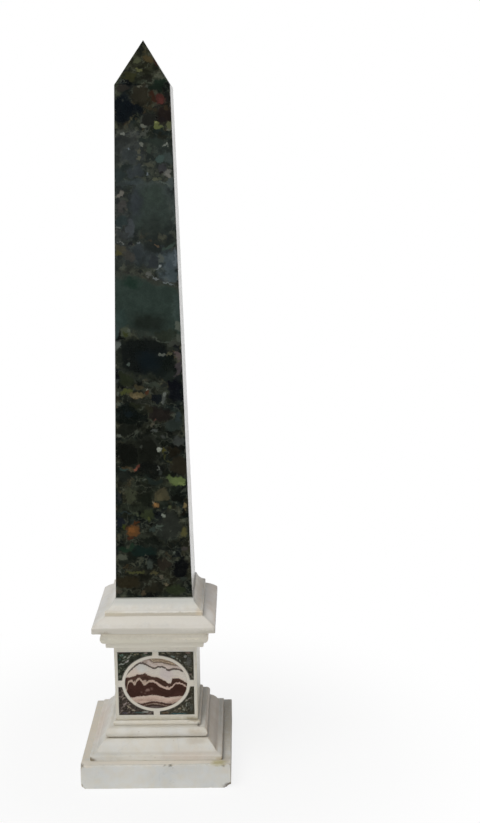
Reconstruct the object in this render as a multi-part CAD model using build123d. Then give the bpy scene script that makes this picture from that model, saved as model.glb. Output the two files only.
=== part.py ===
"""Tabletop obelisk: a tapered shaft on a moulded square pedestal.

The body is a stack of solid white marble slabs, each worked with its own moulding and
cemented on the one below. The shaft and its pyramidion carry a slab of dark breccia on
the front. The front of the die is inlaid: an agate oval in a white marble ring, which
four bridges tie to the edges of the panel, and a spandrel of serpentine in each corner.

Millimetres, +Z up, the front faces -Y. The origin is the centre of the plinth's
underside. Nothing moves.
"""

from build123d import *
import os

# ---- Plinth ----
plinth_width = 127.0
plinth_height = 21.5

# ---- Base moulding: a fillet, then a reversed ogee that climbs to the torus ----
base_width = 112.4
base_height = 14.3
base_fillet_height = 4.6
base_weathering_run = 2.0       # the fillet's top slopes in by this much
base_weathering_rise = 0.9
base_cove_run = 3.4             # the short hollow at the foot of the ogee
base_cove_rise = 1.5
base_cove_sagitta = 0.5
base_ovolo_sagitta = 0.6        # the long, slightly swelling upper part of the ogee
base_ledge = 0.2                # the ogee's top stands out past the torus

# ---- Torus and step ----
torus_width = 87.6
torus_height = 8.9
torus_sagitta = 3.2
step_width = 75.2
step_height = 4.1
step_sagitta = 0.8

# ---- Die and its inlaid panel ----
die_width = 70.4
die_height = 68.3
panel_width = 65.0
panel_height = 57.6
panel_foot = 4.6                # marble left below the panel
panel_depth = 4.0
ring_width = 59.4
ring_height = 51.8
ring_band = 3.0
upright_bridge_width = 5.2      # above and below the ring
level_bridge_width = 6.2        # left and right of the ring
glue_line = 0.1                 # cement between two inlaid pieces

# ---- Neck and bed band under the corona ----
neck_width = 82.8
neck_height = 4.9
neck_round = 1.2                # rounding of the neck's lower arris
band_width = 91.4
band_roll_height = 9.4
band_sagitta = 2.2
band_fillet_height = 2.3        # plain strip between the roll and the corona

# ---- Corona: an upright fascia and a sloping top ----
corona_width = 103.4
fascia_height = 4.5
corona_slope_height = 7.3
corona_arris = 1.4              # rounding between fascia and slope
corona_ledge = 0.2              # the slope's top stands out past the seat

# ---- Seat: a fillet and a hollow that rises to the foot of the shaft ----
seat_width = 82.6
seat_fillet_height = 3.4
seat_shoulder = 1.0             # rounding above the fillet
seat_hollow_height = 8.3
seat_hollow_sagitta = 1.1
seat_border = 1.3               # marble left around the foot of the shaft

# ---- Shaft and pyramidion ----
shaft_foot_width = 64.8
shaft_top_width = 43.9
shaft_height = 421.0
pyramidion_height = 35.8
front_slab_thickness = 4.0      # breccia on the front of the shaft and the pyramidion

# ---- Levels, each slab bedded on the one below ----
base_level = plinth_height
torus_level = base_level + base_height
step_level = torus_level + torus_height
die_level = step_level + step_height
neck_level = die_level + die_height
band_level = neck_level + neck_height
band_height = band_roll_height + band_fillet_height
corona_level = band_level + band_height
corona_height = fascia_height + corona_slope_height
seat_level = corona_level + corona_height
seat_height = seat_fillet_height + seat_shoulder + seat_hollow_height
shaft_level = seat_level + seat_height
pyramidion_level = shaft_level + shaft_height
panel_centre_level = die_level + panel_foot + panel_height / 2

os.makedirs("parts", exist_ok=True)


def save(solid, name):
    """Write one sub-part to its own file."""
    solid.label = name
    export_step(solid, f"parts/{name}.step")


def bow(start, end, outward):
    """Arc between two points of a moulding, read upwards: it swells out, or in if negative."""
    return SagittaArc(start, end, -outward)


def moulded_slab(side, level):
    """A square slab whose four sides follow one moulding, mitred at the corners.

    side is the moulding's line, as edges in (half width, height above the slab's bed),
    from its lowest point to its highest.
    """
    foot = side[0] @ 0
    head = side[-1] @ 1
    right = Curve() + side
    left = mirror(right, about=Plane.YZ)
    bed = Line((-foot.X, foot.Y), (foot.X, foot.Y))
    top = Line((-head.X, head.Y), (head.X, head.Y))
    section = Plane.XZ * make_face(right + left + bed + top)
    reach = section.bounding_box().size.X / 2
    along_y = extrude(section, amount=reach, both=True)
    along_x = Rot(0, 0, 90) * along_y
    return Pos(0, 0, level) * (along_y & along_x)


def plinth():
    """Plain square slab that the obelisk stands on."""
    half = plinth_width / 2
    return moulded_slab([Line((half, 0), (half, plinth_height))], 0)


def base_moulding():
    """Fillet, weathered ledge, short cove and long swelling ogee."""
    half = base_width / 2
    fillet_top = (half, base_fillet_height)
    ledge = (half - base_weathering_run, base_fillet_height + base_weathering_rise)
    cove_top = (ledge[0] - base_cove_run, ledge[1] + base_cove_rise)
    head = (torus_width / 2 + base_ledge, base_height)
    return moulded_slab([
        Line((half, 0), fillet_top),
        Line(fillet_top, ledge),
        bow(ledge, cove_top, -base_cove_sagitta),
        bow(cove_top, head, base_ovolo_sagitta),
    ], base_level)


def rolled_slab(width, height, sagitta, level):
    """Slab with a rounded edge that swells by the sagitta to the full width."""
    edge = width / 2 - sagitta
    return moulded_slab([bow((edge, 0), (edge, height), sagitta)], level)


def panel_plane():
    """The front of the die, with its own origin at the panel's centre."""
    return Plane((0, -die_width / 2, panel_centre_level), x_dir=(1, 0, 0), z_dir=(0, -1, 0))


def inlay(sketch):
    """A piece of the panel, flush with the front of the die and as deep as the pocket."""
    return extrude(panel_plane() * sketch, amount=-panel_depth)


def die_block():
    """Square block with the pocket for the inlaid panel in its front."""
    half = die_width / 2
    block = moulded_slab([Line((half, 0), (half, die_height))], die_level)
    return block - inlay(Rectangle(panel_width, panel_height))


def panel_field():
    """The pocket's outline, less the glue line all round."""
    return Rectangle(panel_width - 2 * glue_line, panel_height - 2 * glue_line)


def tracery(slack):
    """Filled ring and its four bridges, each side grown by the slack."""
    ring = Ellipse(ring_width / 2 + slack, ring_height / 2 + slack)
    uprights = Rectangle(upright_bridge_width + 2 * slack, panel_height)
    levels = Rectangle(panel_width, level_bridge_width + 2 * slack)
    return ring + uprights + levels


def oval_ring():
    """White oval ring with its four bridges, in one piece."""
    opening = Ellipse(ring_width / 2 - ring_band, ring_height / 2 - ring_band)
    return inlay((tracery(0) & panel_field()) - opening)


def agate_oval():
    """Banded stone that fills the ring."""
    inset = ring_band + glue_line
    return inlay(Ellipse(ring_width / 2 - inset, ring_height / 2 - inset))


def spandrel(side, end):
    """Corner piece between the ring, two bridges and the panel's edges.

    side is -1 on the left and 1 on the right, end is -1 below and 1 above.
    """
    quarter = Pos(side * panel_width / 4, end * panel_height / 4) * Rectangle(
        panel_width / 2, panel_height / 2
    )
    return inlay((quarter & panel_field()) - tracery(glue_line))


def neck_slab():
    """Low slab with a rounded lower arris, on the head of the die."""
    half = neck_width / 2
    return moulded_slab([
        TangentArc((half - neck_round, 0), (half, neck_round), tangent=(1, 0)),
        Line((half, neck_round), (half, neck_height)),
    ], neck_level)


def bed_band():
    """Half-round roll with a plain strip above it, under the corona."""
    edge = band_width / 2 - band_sagitta
    return moulded_slab([
        bow((edge, 0), (edge, band_roll_height), band_sagitta),
        Line((edge, band_roll_height), (edge, band_height)),
    ], band_level)


def corona_slab():
    """Widest slab of the cap, with an upright fascia and a plain sloping top."""
    half = corona_width / 2
    head = (seat_width / 2 + corona_ledge, corona_height)
    slope = Vector(head[0] - half, corona_slope_height).normalized()
    lower = Vector(half, fascia_height - corona_arris)
    upper = Vector(half, fascia_height) + slope * corona_arris
    arris = TangentArc(lower, upper, tangent=(0, 1))
    return moulded_slab([Line((half, 0), lower), arris, Line(upper, head)], corona_level)


def seat_slab():
    """Fillet, rounded shoulder and hollow, up to the border of the shaft's foot."""
    half = seat_width / 2
    shoulder_top = (half - seat_shoulder, seat_fillet_height + seat_shoulder)
    head = (shaft_foot_width / 2 + seat_border, seat_height)
    return moulded_slab([
        Line((half, 0), (half, seat_fillet_height)),
        TangentArc((half, seat_fillet_height), shoulder_top, tangent=(0, 1)),
        bow(shoulder_top, head, -seat_hollow_sagitta),
    ], seat_level)


def tapered_block(foot_width, head_width, level, height):
    """Square block that tapers evenly on its four sides, to a point if head_width is 0."""
    foot = foot_width / 2
    head = head_width / 2
    outline = [(-foot, level), (foot, level), (head, level + height)]
    if head > 0:
        outline.append((-head, level + height))
    section = Plane.XZ * make_face(Polyline(*outline, close=True))
    along_y = extrude(section, amount=foot, both=True)
    return along_y & (Rot(0, 0, 90) * along_y)


def front_layer(foot_width, head_width, level, height):
    """Everything less than the slab's thickness behind a tapered block's front face."""
    foot = foot_width / 2
    head = head_width / 2
    face_length = (height ** 2 + (foot - head) ** 2) ** 0.5
    depth = front_slab_thickness * face_length / height
    outline = Polyline(
        (-foot, level),
        (-foot + depth, level),
        (-head + depth, level + height),
        (-head, level + height),
        close=True,
    )
    return extrude(Plane.YZ * make_face(outline), amount=foot_width, both=True)


def save_faced_block(name, foot_width, head_width, level, height):
    """Write a tapered marble core and the breccia slab on its front."""
    block = tapered_block(foot_width, head_width, level, height)
    layer = front_layer(foot_width, head_width, level, height)
    save(block - layer, f"{name}_core")
    save(block & layer, f"{name}_front_slab")


save(plinth(), "plinth")
save(base_moulding(), "base_moulding")
save(rolled_slab(torus_width, torus_height, torus_sagitta, torus_level), "torus_slab")
save(rolled_slab(step_width, step_height, step_sagitta, step_level), "step_slab")
save(die_block(), "die_block")
save(oval_ring(), "oval_ring")
save(agate_oval(), "agate_oval")
for end_name, end in (("upper", 1), ("lower", -1)):
    for side_name, side in (("left", -1), ("right", 1)):
        save(spandrel(side, end), f"spandrel_{end_name}_{side_name}")
save(neck_slab(), "neck_slab")
save(bed_band(), "bed_band")
save(corona_slab(), "corona_slab")
save(seat_slab(), "seat_slab")
save_faced_block("shaft", shaft_foot_width, shaft_top_width, shaft_level, shaft_height)
save_faced_block("pyramidion", shaft_top_width, 0, pyramidion_level, pyramidion_height)
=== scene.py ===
"""Tabletop obelisk of white marble, faced with breccia and inlaid with agate.

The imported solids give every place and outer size. Each moulded slab is a profile carried
round a square, with rounded arrises, small nicks and a few chips. The stones are
procedural materials on object coordinates. Lengths in the working functions are
millimetres, and a mesh is written in metres.
"""

import itertools
from types import SimpleNamespace

import bpy
import numpy as np
from bpy.props import FloatProperty, FloatVectorProperty, IntProperty, PointerProperty
from bpy.types import Operator, Panel, PropertyGroup
from mathutils import Matrix, Vector


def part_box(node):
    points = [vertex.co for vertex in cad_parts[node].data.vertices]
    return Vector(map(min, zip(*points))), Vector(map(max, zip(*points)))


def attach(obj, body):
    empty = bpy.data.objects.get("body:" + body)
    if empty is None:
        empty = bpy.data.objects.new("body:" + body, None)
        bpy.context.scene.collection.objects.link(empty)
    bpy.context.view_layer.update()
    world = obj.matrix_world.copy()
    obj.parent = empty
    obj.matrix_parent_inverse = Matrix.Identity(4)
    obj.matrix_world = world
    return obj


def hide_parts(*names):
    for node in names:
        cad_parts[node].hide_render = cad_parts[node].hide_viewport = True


bl_info = {
    "name": "Tabletop Obelisk",
    "version": (1, 0, 0),
    "blender": (4, 5, 0),
    "location": "3D View > Sidebar > Obelisk",
    "description": "Dresses a packed marble and breccia obelisk, piece by piece",
    "category": "Object",
}

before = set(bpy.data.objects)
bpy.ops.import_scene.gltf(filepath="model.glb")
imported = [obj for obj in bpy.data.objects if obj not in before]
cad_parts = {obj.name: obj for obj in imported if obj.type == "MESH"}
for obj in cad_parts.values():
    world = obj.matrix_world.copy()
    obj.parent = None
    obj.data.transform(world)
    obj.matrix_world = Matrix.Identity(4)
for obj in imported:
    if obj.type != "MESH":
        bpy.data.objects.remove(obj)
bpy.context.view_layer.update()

MM = 0.001


# ------------------------ settings

def length(name, description, value):
    """A length setting, written here in millimetres and held in metres."""
    return FloatProperty(name=name, description=description, default=value * MM,
                         min=0.0, unit="LENGTH", precision=5)


def linear(red, green, blue):
    """Scene-linear colour from display values of 0 to 255."""
    shade = np.array([red, green, blue]) / 255.0
    low = shade <= 0.04045
    return tuple(np.where(low, shade / 12.92, ((shade + 0.055) / 1.055) ** 2.4).tolist())


def colour(name, description, red, green, blue):
    return FloatVectorProperty(name=name, description=description, subtype="COLOR",
                               size=3, min=0.0, max=1.0, default=linear(red, green, blue))


class ObeliskMouldings(PropertyGroup):
    """Sizes inside a slab's outline, which the solids' boxes don't give."""
    base_fillet: length("Base fillet", "Upright strip at the foot of the base moulding", 4.6)
    base_weathering_run: length("Weathering run", "How far the fillet's top slopes in", 2.0)
    base_weathering_rise: length("Weathering rise", "How far the fillet's top climbs", 0.9)
    base_cove_run: length("Cove run", "Width of the hollow at the foot of the ogee", 3.4)
    base_cove_rise: length("Cove rise", "Height of the hollow at the foot of the ogee", 1.5)
    base_cove_depth: length("Cove depth", "Depth of the hollow below its chord", 0.5)
    base_ovolo_swell: length("Ogee swell", "Swelling of the ogee above its chord", 0.6)
    ledge: length("Ledge", "How far a slope's head stands out past the next slab", 0.2)
    torus_swell: length("Torus swell", "Roundness of the torus edge", 3.2)
    step_swell: length("Step swell", "Roundness of the step's edge", 0.8)
    neck_round: length("Neck rounding", "Rounding of the neck's lower arris", 1.2)
    roll_height: length("Roll height", "Half-round part of the bed band", 9.4)
    roll_swell: length("Roll swell", "Roundness of the bed band", 2.2)
    fascia_height: length("Fascia", "Upright edge of the corona", 5.1)
    corona_arris: length("Corona arris", "Rounding between fascia and slope", 1.0)
    corona_swell: length("Corona swell", "Swelling of the corona's slope above its chord", 0.5)
    corona_corner: length("Corona corner", "Rounding of the corona's upright corners", 1.1)
    seat_fillet: length("Seat fillet", "Upright strip at the foot of the seat", 3.4)
    seat_shoulder: length("Seat shoulder", "Rounding above the seat's fillet", 1.0)
    seat_hollow: length("Seat hollow", "Depth of the seat's hollow below its chord", 1.1)
    seat_border: length("Seat border", "Marble left around the foot of the shaft", 1.3)
    panel_width: length("Panel width", "Width of the inlaid panel", 65.0)
    panel_height: length("Panel height", "Height of the inlaid panel", 57.6)
    panel_foot: length("Panel foot", "Marble left below the panel", 4.6)
    facing: length("Facing", "Thickness of the breccia slab", 4.0)
    ring_band: length("Ring band", "Width of the oval ring", 3.0)
    ring_bridge: length("Ring bridge", "Widest of the bridges that tie the ring", 6.2)


class ObeliskWear(PropertyGroup):
    """How the mesh is worn, and how finely it is divided."""
    arris: length("Arris", "Rounding of a worked edge", 0.45)
    corner: length("Corner", "Rounding of a slab's upright corner", 0.8)
    wobble: length("Unevenness", "Unevenness of hand-rubbed faces", 0.07)
    nick: length("Nick depth", "Depth of the small nicks along an arris", 0.55)
    step: length("Step along", "Spacing of the mesh lines round a slab", 0.95)
    rise: length("Step up", "Spacing of the mesh lines along a profile", 0.7)
    seed: IntProperty(name="Seed", description="Changes where the nicks fall", default=7, min=0)


class ObeliskStone(PropertyGroup):
    """Colours of the marble, and how the breccia looks as a whole."""
    marble: colour("Marble", "Clean white marble", 214, 211, 203)
    patina: colour("Patina", "Cream tone of handled marble", 204, 195, 176)
    dirt: colour("Dirt", "Dirt in the hollows", 118, 98, 72)
    broken: colour("Broken marble", "Inside of a chip", 168, 160, 146)
    breccia_gain: FloatProperty(name="Breccia brightness", description="Scales the breccia's colours",
                                default=1.0, min=0.0, max=3.0)
    breccia_warp: length("Clast outline", "How far the clasts' outlines wander", 3.4)


class ObeliskStage(PropertyGroup):
    """Camera, lamps and floor."""
    eye: FloatVectorProperty(name="Camera place", description="Where the camera stands",
                             subtype="TRANSLATION", unit="LENGTH", size=3,
                             default=(0.07639, -0.99127, 0.51022))
    yaw: FloatProperty(name="Yaw", description="Turn to the right, in degrees", default=-0.1231)
    pitch: FloatProperty(name="Pitch", description="Tilt upwards, in degrees", default=-11.3086)
    roll: FloatProperty(name="Roll", description="Turn about the line of sight, in degrees",
                        default=-0.6022)
    lens: FloatProperty(name="Lens", description="Focal length in millimetres", default=52.178)
    key: FloatProperty(name="Key", description="Power of the key lamp in watts", default=34.0)
    front: FloatProperty(name="Front", description="Power of the low front lamp in watts", default=13.0)
    fill: FloatProperty(name="Fill", description="Level of the even light", default=0.24)
    floor: colour("Floor", "Colour of the floor", 245, 245, 244)


SETTINGS = {
    "obelisk_mouldings": ObeliskMouldings,
    "obelisk_wear": ObeliskWear,
    "obelisk_stone": ObeliskStone,
    "obelisk_stage": ObeliskStage,
}


# ------------------------ shapes

DIRT_REACH = 1.3    # millimetres in which the dirt beside a crevice falls to a third


def slab_box(node):
    """Half width, foot and head of a square slab, in millimetres."""
    low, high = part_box(node)
    return high.x / MM, low.z / MM, high.z / MM


def arc(start, end, swell, count=24):
    """Points on the circular arc from start to end, read upwards on a right-hand profile.

    The arc leaves its chord by the swell, outwards if positive. With half chord c and
    swell s the radius is (c*c + s*s) / 2s, and points are spaced evenly in angle.
    """
    start, end = np.array(start, float), np.array(end, float)
    chord = end - start
    half = np.linalg.norm(chord) / 2
    outward = np.array([chord[1], -chord[0]]) / (2 * half)
    radius = (half ** 2 + swell ** 2) / (2 * abs(swell))
    reach = np.arcsin(min(1.0, half / radius))
    angle = np.linspace(-reach, reach, count)
    along = (start + end) / 2 + np.outer(radius * np.sin(angle), chord / (2 * half))
    bulge = np.sign(swell) * (radius * np.cos(angle) - (radius - abs(swell)))
    return along + np.outer(bulge, outward)


def soften(outline, rounding, spacing):
    """Round the corners of a profile and space its points for a mesh.

    The line is sampled finely by length, blurred with a bell curve as wide as the
    rounding, and then sampled so that each step is one spacing long or turns 14 degrees.
    Returns the points, their outward normals and how convex the line is at each.
    """
    outline = np.array(outline, float)
    run = np.concatenate([[0], np.cumsum(np.linalg.norm(np.diff(outline, axis=0), axis=1))])
    fine = 0.05
    distance = np.arange(0, run[-1] + fine, fine).clip(max=run[-1])
    line = np.stack([np.interp(distance, run, outline[:, k]) for k in (0, 1)], 1)
    window = np.arange(-4 * rounding, 4 * rounding + fine, fine)
    bell = np.exp(-0.5 * (window / (0.6 * rounding)) ** 2)
    bell /= bell.sum()
    pad = len(window) // 2
    ends = np.pad(line, ((pad, pad), (0, 0)), mode="reflect", reflect_type="odd")
    line = np.stack([np.convolve(ends[:, k], bell, "valid") for k in (0, 1)], 1)[:len(distance)]
    slope = np.gradient(line, axis=0)
    heading = np.unwrap(np.arctan2(slope[:, 1], slope[:, 0]))
    turning = np.gradient(heading) / fine
    pace = 1 / spacing + np.abs(turning) / np.radians(14)
    count = np.concatenate([[0], np.cumsum((pace[1:] + pace[:-1]) / 2 * fine)])
    picks = np.linspace(0, count[-1], int(np.ceil(count[-1])) + 1)
    where = np.interp(picks, count, distance)
    points = np.stack([np.interp(where, distance, line[:, k]) for k in (0, 1)], 1)
    heading = np.interp(where, distance, heading)
    convex = np.interp(where, distance, np.clip(turning * rounding, -1, 1))
    return points, np.stack([np.sin(heading), -np.cos(heading)], 1), convex


def square_path(stations, turns=5):
    """Unit offsets round a square plan, counter-clockwise from above.

    A place on the plan is (half side - r) * pull + r * push, where r is the corner's
    rounding. Along the front, pull is (s, -1) and push (0, -1), for s from -1 to 1 in
    the stations; at its right end pull stays (1, -1) while push makes a quarter turn.
    The other sides repeat it, turned by a quarter each.
    """
    bend = np.linspace(0, np.pi / 2, turns + 1)[1:-1]
    straight = np.stack([stations, -np.ones_like(stations)], 1)
    pull = np.concatenate([straight, np.tile([1.0, -1.0], (bend.size, 1))])
    push = np.concatenate([np.tile([0.0, -1.0], (stations.size, 1)),
                           np.stack([np.sin(bend), -np.cos(bend)], 1)])
    corner = np.concatenate([np.clip((np.abs(stations) - 0.985) / 0.015, 0, 1), np.ones(bend.size)])
    quarter = np.array([[0.0, 1.0], [-1.0, 0.0]])
    turned = [np.linalg.matrix_power(quarter, k) for k in range(4)]
    return (np.concatenate([pull @ t for t in turned]),
            np.concatenate([push @ t for t in turned]), np.tile(corner, 4))


def even_stations(side, step):
    """Places from -1 to 1 along a side, about one step apart."""
    return np.linspace(-1, 1, max(2, int(round(side / step))) + 1)


def lattice_noise(points, cell, seed):
    """Smooth noise from -1 to 1.

    Every corner of a lattice of cubes gets a fixed hashed value, and a point blends the
    eight corners round it with the weight 3t*t - 2t*t*t along each axis.
    """
    spot = points / cell
    base = np.floor(spot).astype(np.int64)
    part = spot - base
    part = part * part * (3 - 2 * part)
    total = np.zeros(points.shape[:-1])
    for corner in itertools.product((0, 1), repeat=3):
        key = base + np.array(corner)
        mixed = (key[..., 0] * 73856093) ^ (key[..., 1] * 19349663) ^ (key[..., 2] * 83492791)
        mixed = ((mixed ^ (seed * 668265263)) * 1274126177) & 0xFFFFFFFF
        mixed = ((mixed ^ (mixed >> 15)) * 2246822519) & 0xFFFFFFFF
        value = ((mixed ^ (mixed >> 13)) & 0xFFFF) / 32767.5 - 1
        total += value * np.prod(np.where(corner, part, 1 - part), axis=-1)
    return total


def weather(points, normals, arris, wear, bites=()):
    """Wear a grid of points: unevenness everywhere, nicks along arrises, and bites.

    Unevenness moves a point along its normal by two sizes of noise. A nick moves it in
    where fine noise passes a threshold, as far as the arris value allows. A bite is a
    sphere (x, y, z, radius) that stands in the stone: points inside it are pushed out to
    its rough surface. Returns the points and how broken the stone is at each.
    """
    seed = wear.seed
    uneven = lattice_noise(points, 17, seed) + 0.5 * lattice_noise(points, 6, seed + 1)
    flake = lattice_noise(points, 3.1, seed + 2) + 0.5 * lattice_noise(points, 1.4, seed + 3)
    nick = np.clip((flake - 0.62) / 0.5, 0, 1) * arris
    offset = uneven * wear.wobble * 0.5 - nick * wear.nick
    points = points + normals * offset[..., None]
    broken = np.clip(nick * 1.6, 0, 1)
    rough = lattice_noise(points, 1.9, seed + 4)
    for x, y, z, radius in bites:
        reach = points - np.array([x, y, z])
        distance = np.linalg.norm(reach, axis=-1)
        wall = radius * (1 + 0.05 * rough)
        inside = distance < wall
        scale = np.where(inside, wall / np.maximum(distance, 1e-6), 1.0)
        points = np.array([x, y, z]) + reach * scale[..., None]
        broken = np.maximum(broken, np.clip((wall - distance) / 0.35, 0, 1))
    return points, broken


def make_mesh(name, points, traits):
    """Write a grid of rings, lowest first, as a closed mesh in metres.

    A face joins each point to its neighbour along the ring and to the two above them.
    The first ring is closed by one face looking down, and the last by one looking up.
    """
    rings, around = points.shape[:2]
    index = np.arange(rings * around).reshape(rings, around)
    following = np.roll(index, -1, axis=1)
    quads = np.stack([index[:-1], following[:-1], following[1:], index[1:]], -1).reshape(-1, 4)
    faces = quads.tolist() + [index[0, ::-1].tolist(), index[-1].tolist()]
    mesh = bpy.data.meshes.new(name)
    mesh.from_pydata((points.reshape(-1, 3) * MM).tolist(), [], faces)
    smooth = np.ones(len(faces), bool)
    smooth[len(quads):] = False
    mesh.polygons.foreach_set("use_smooth", smooth)
    for trait, values in traits.items():
        mesh.attributes.new(trait, "FLOAT", "POINT").data.foreach_set(
            "value", values.reshape(-1).astype(np.float32))
    mesh.update()
    piece = bpy.data.objects.new(name, mesh)
    bpy.context.scene.collection.objects.link(piece)
    return piece


def sweep(name, profile, normals, convex, half, stations, rounding, wear,
          crevices=(), bites=(), arris_reach=1.0, centre_y=0.0, pocket=None):
    """Carry a profile round a rectangle and weather it.

    half gives the plan's half sides (x, y) at each profile point, and centre_y moves its
    middle. crevices are (half width, height, amount) where dirt gathers: the dirt value
    falls off from them as amount * exp(-distance / DIRT_REACH). arris_reach is how far
    the arrises wear. pocket is (half width, foot, head, depth) of a sunk panel in the
    front.
    """
    pull, push, corner = square_path(stations)
    rounding = np.broadcast_to(rounding, len(profile))[:, None, None]
    size = half[:, None, :]
    plan = (size - rounding) * pull[None] + rounding * push[None]
    plan[..., 1] += np.broadcast_to(centre_y, len(profile))[:, None]
    level = np.broadcast_to(profile[:, 1, None], plan.shape[:2])
    points = np.concatenate([plan, level[..., None]], -1)
    outward = np.concatenate([
        normals[:, None, :1] * push[None],
        np.broadcast_to(normals[:, None, 1:], (len(profile), len(pull), 1)),
    ], -1)
    arris = np.maximum(np.clip(convex, 0, 1)[:, None] * 1.2, corner[None]).clip(0, 1) * arris_reach
    dirt = np.zeros(len(profile))
    for radius, height, amount in crevices:
        away = np.linalg.norm(profile - (radius, height), axis=1)
        dirt = np.maximum(dirt, amount * np.exp(-away / DIRT_REACH))
    if pocket:
        half_width, foot, head, depth = pocket
        front = points[..., 1] < -half[0, 1] + 0.01
        sunk = front & (np.abs(points[..., 0]) < half_width) & (level > foot) & (level < head)
        points[..., 1] += np.where(sunk, depth, 0)
    points, broken = weather(points, outward, arris, wear, bites)
    # flank is how far a point faces right: the mask for painted light and shade on that side.
    traits = {"edge": arris, "flank": outward[..., 0], "broken": broken,
              "dirt": np.broadcast_to(dirt[:, None], arris.shape)}
    return make_mesh(name, points, traits)


def dress(piece, material, slot, *nodes):
    """Give a piece its material and its body, and hide the solids it stands for. slot is not used."""
    piece.data.materials.append(material)
    if nodes:
        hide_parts(*nodes)
    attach(piece, "root")
    return piece


def moulded_slab(name, outline, crevices, material, wear, bites=(), corner=None):
    """A square slab from its outline of (half width, height) points, lowest first."""
    profile, normals, convex = soften(outline, wear.arris, wear.rise)
    half = np.repeat(profile[:, :1], 2, axis=1)
    stations = even_stations(2 * profile[:, 0].max(), wear.step)
    piece = sweep(f"{name}_worn", profile, normals, convex, half, stations,
                  corner or wear.corner, wear, crevices, bites)
    return dress(piece, material, "white_marble", name)


# ------------------------ node helpers

def put(tree, kind, inputs=(), **settings):
    """Add a node, set it up, and fill its inputs with values or links."""
    made = tree.nodes.new(kind)
    for key, value in settings.items():
        setattr(made, key, value)
    for key, value in dict(inputs).items():
        if isinstance(value, bpy.types.NodeSocket):
            tree.links.new(value, made.inputs[key])
        else:
            made.inputs[key].default_value = value
    return made


def calc(tree, operation, first, second=0.0, third=None, clamp=False):
    """The result of one Math node."""
    inputs = {0: first, 1: second}
    if third is not None:
        inputs[2] = third
    return put(tree, "ShaderNodeMath", inputs, operation=operation, use_clamp=clamp).outputs[0]


def aim(tree, operation, first, second=None, third=None, scale=None):
    """The vector from one Vector Math node."""
    inputs = {0: first}
    if second is not None:
        inputs[1] = second
    if third is not None:
        inputs[2] = third
    if scale is not None:
        inputs["Scale"] = scale
    return put(tree, "ShaderNodeVectorMath", inputs, operation=operation).outputs[0]


def ramp(tree, value, low, high, to_low=0.0, to_high=1.0):
    """Map a value smoothly from one range to another, held at both ends."""
    return put(tree, "ShaderNodeMapRange", {0: value, 1: low, 2: high, 3: to_low, 4: to_high},
               interpolation_type="SMOOTHSTEP").outputs[0]


def split(tree, vector):
    """The three axes of a vector."""
    return put(tree, "ShaderNodeSeparateXYZ", {0: vector}).outputs


def span(tree, first, second=None):
    """The length of a vector, or the distance between two places."""
    if second is None:
        return put(tree, "ShaderNodeVectorMath", {0: first}, operation="LENGTH").outputs["Value"]
    return put(tree, "ShaderNodeVectorMath", {0: first, 1: second}, operation="DISTANCE").outputs["Value"]


def tint(tree, factor, under, over, kind="MIX"):
    """Lay one colour over another."""
    mixer = put(tree, "ShaderNodeMix", data_type="RGBA", blend_type=kind, clamp_factor=True)
    for index, value in ((0, factor), (6, under), (7, over)):
        if isinstance(value, bpy.types.NodeSocket):
            tree.links.new(value, mixer.inputs[index])
        else:
            mixer.inputs[index].default_value = value if index == 0 else (*value, 1.0)
    return mixer.outputs[2]


def grain(tree, place, size, detail=3.0, rough=0.55, distort=0.0, output=0):
    """Noise whose largest features are about the given size in millimetres."""
    return put(tree, "ShaderNodeTexNoise",
               {"Vector": place, "Scale": 1.0 / size, "Detail": detail,
                "Roughness": rough, "Distortion": distort}).outputs[output]


def cells(tree, place, size):
    """A Voronoi node whose cells are about the given size in millimetres."""
    return put(tree, "ShaderNodeTexVoronoi", {"Vector": place, "Scale": 1.0 / size})


def lots(tree, voronoi):
    """Three random values for each cell of a Voronoi node."""
    return put(tree, "ShaderNodeSeparateColor", {0: voronoi.outputs["Color"]}).outputs


def sockets(group, inputs, outputs):
    """Name a group's sockets. Values set each input's type and default."""
    for name, value in inputs.items():
        if isinstance(value, (int, float)):
            kind = "NodeSocketFloat"
        elif value == "vector":
            kind = "NodeSocketVector"
        else:
            kind = "NodeSocketColor"
        made = group.interface.new_socket(name, in_out="INPUT", socket_type=kind)
        if kind == "NodeSocketFloat":
            made.default_value = value
        elif kind == "NodeSocketColor":
            made.default_value = (*value, 1.0)
    for name, kind in outputs.items():
        group.interface.new_socket(name, in_out="OUTPUT", socket_type=kind)


def new_group(name, inputs, outputs):
    """A node group, what it is given and what it puts out."""
    group = bpy.data.node_groups.new(name, "ShaderNodeTree")
    sockets(group, inputs, outputs)
    source = group.nodes.new("NodeGroupInput")
    result = group.nodes.new("NodeGroupOutput")
    return group, source.outputs, result.inputs


def use(tree, group, inputs):
    """Place a group in a material with its own values."""
    holder = tree.nodes.new("ShaderNodeGroup")
    holder.node_tree = group
    for key, value in inputs.items():
        if isinstance(value, bpy.types.NodeSocket):
            tree.links.new(value, holder.inputs[key])
        elif isinstance(value, (tuple, list)) and holder.inputs[key].type == "RGBA":
            holder.inputs[key].default_value = (*value, 1.0)
        else:
            holder.inputs[key].default_value = value
    return holder.outputs


def attribute(tree, name):
    """A value that the mesh carries at each point."""
    return put(tree, "ShaderNodeAttribute", attribute_name=name).outputs["Fac"]


def bare_material(name):
    """A material with nothing in it but its output, and that output's surface socket."""
    material = bpy.data.materials.new(name)
    material.use_nodes = True
    tree = material.node_tree
    tree.nodes.clear()
    return material, tree, tree.nodes.new("ShaderNodeOutputMaterial").inputs[0]


def new_material(name):
    """A material with a plain Principled surface, and the place in millimetres."""
    material, tree, out = bare_material(name)
    surface = tree.nodes.new("ShaderNodeBsdfPrincipled")
    tree.links.new(surface.outputs[0], out)
    here = tree.nodes.new("ShaderNodeTexCoord").outputs["Object"]
    place = aim(tree, "SCALE", here, scale=1000.0)
    return material, tree, surface, place


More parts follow.
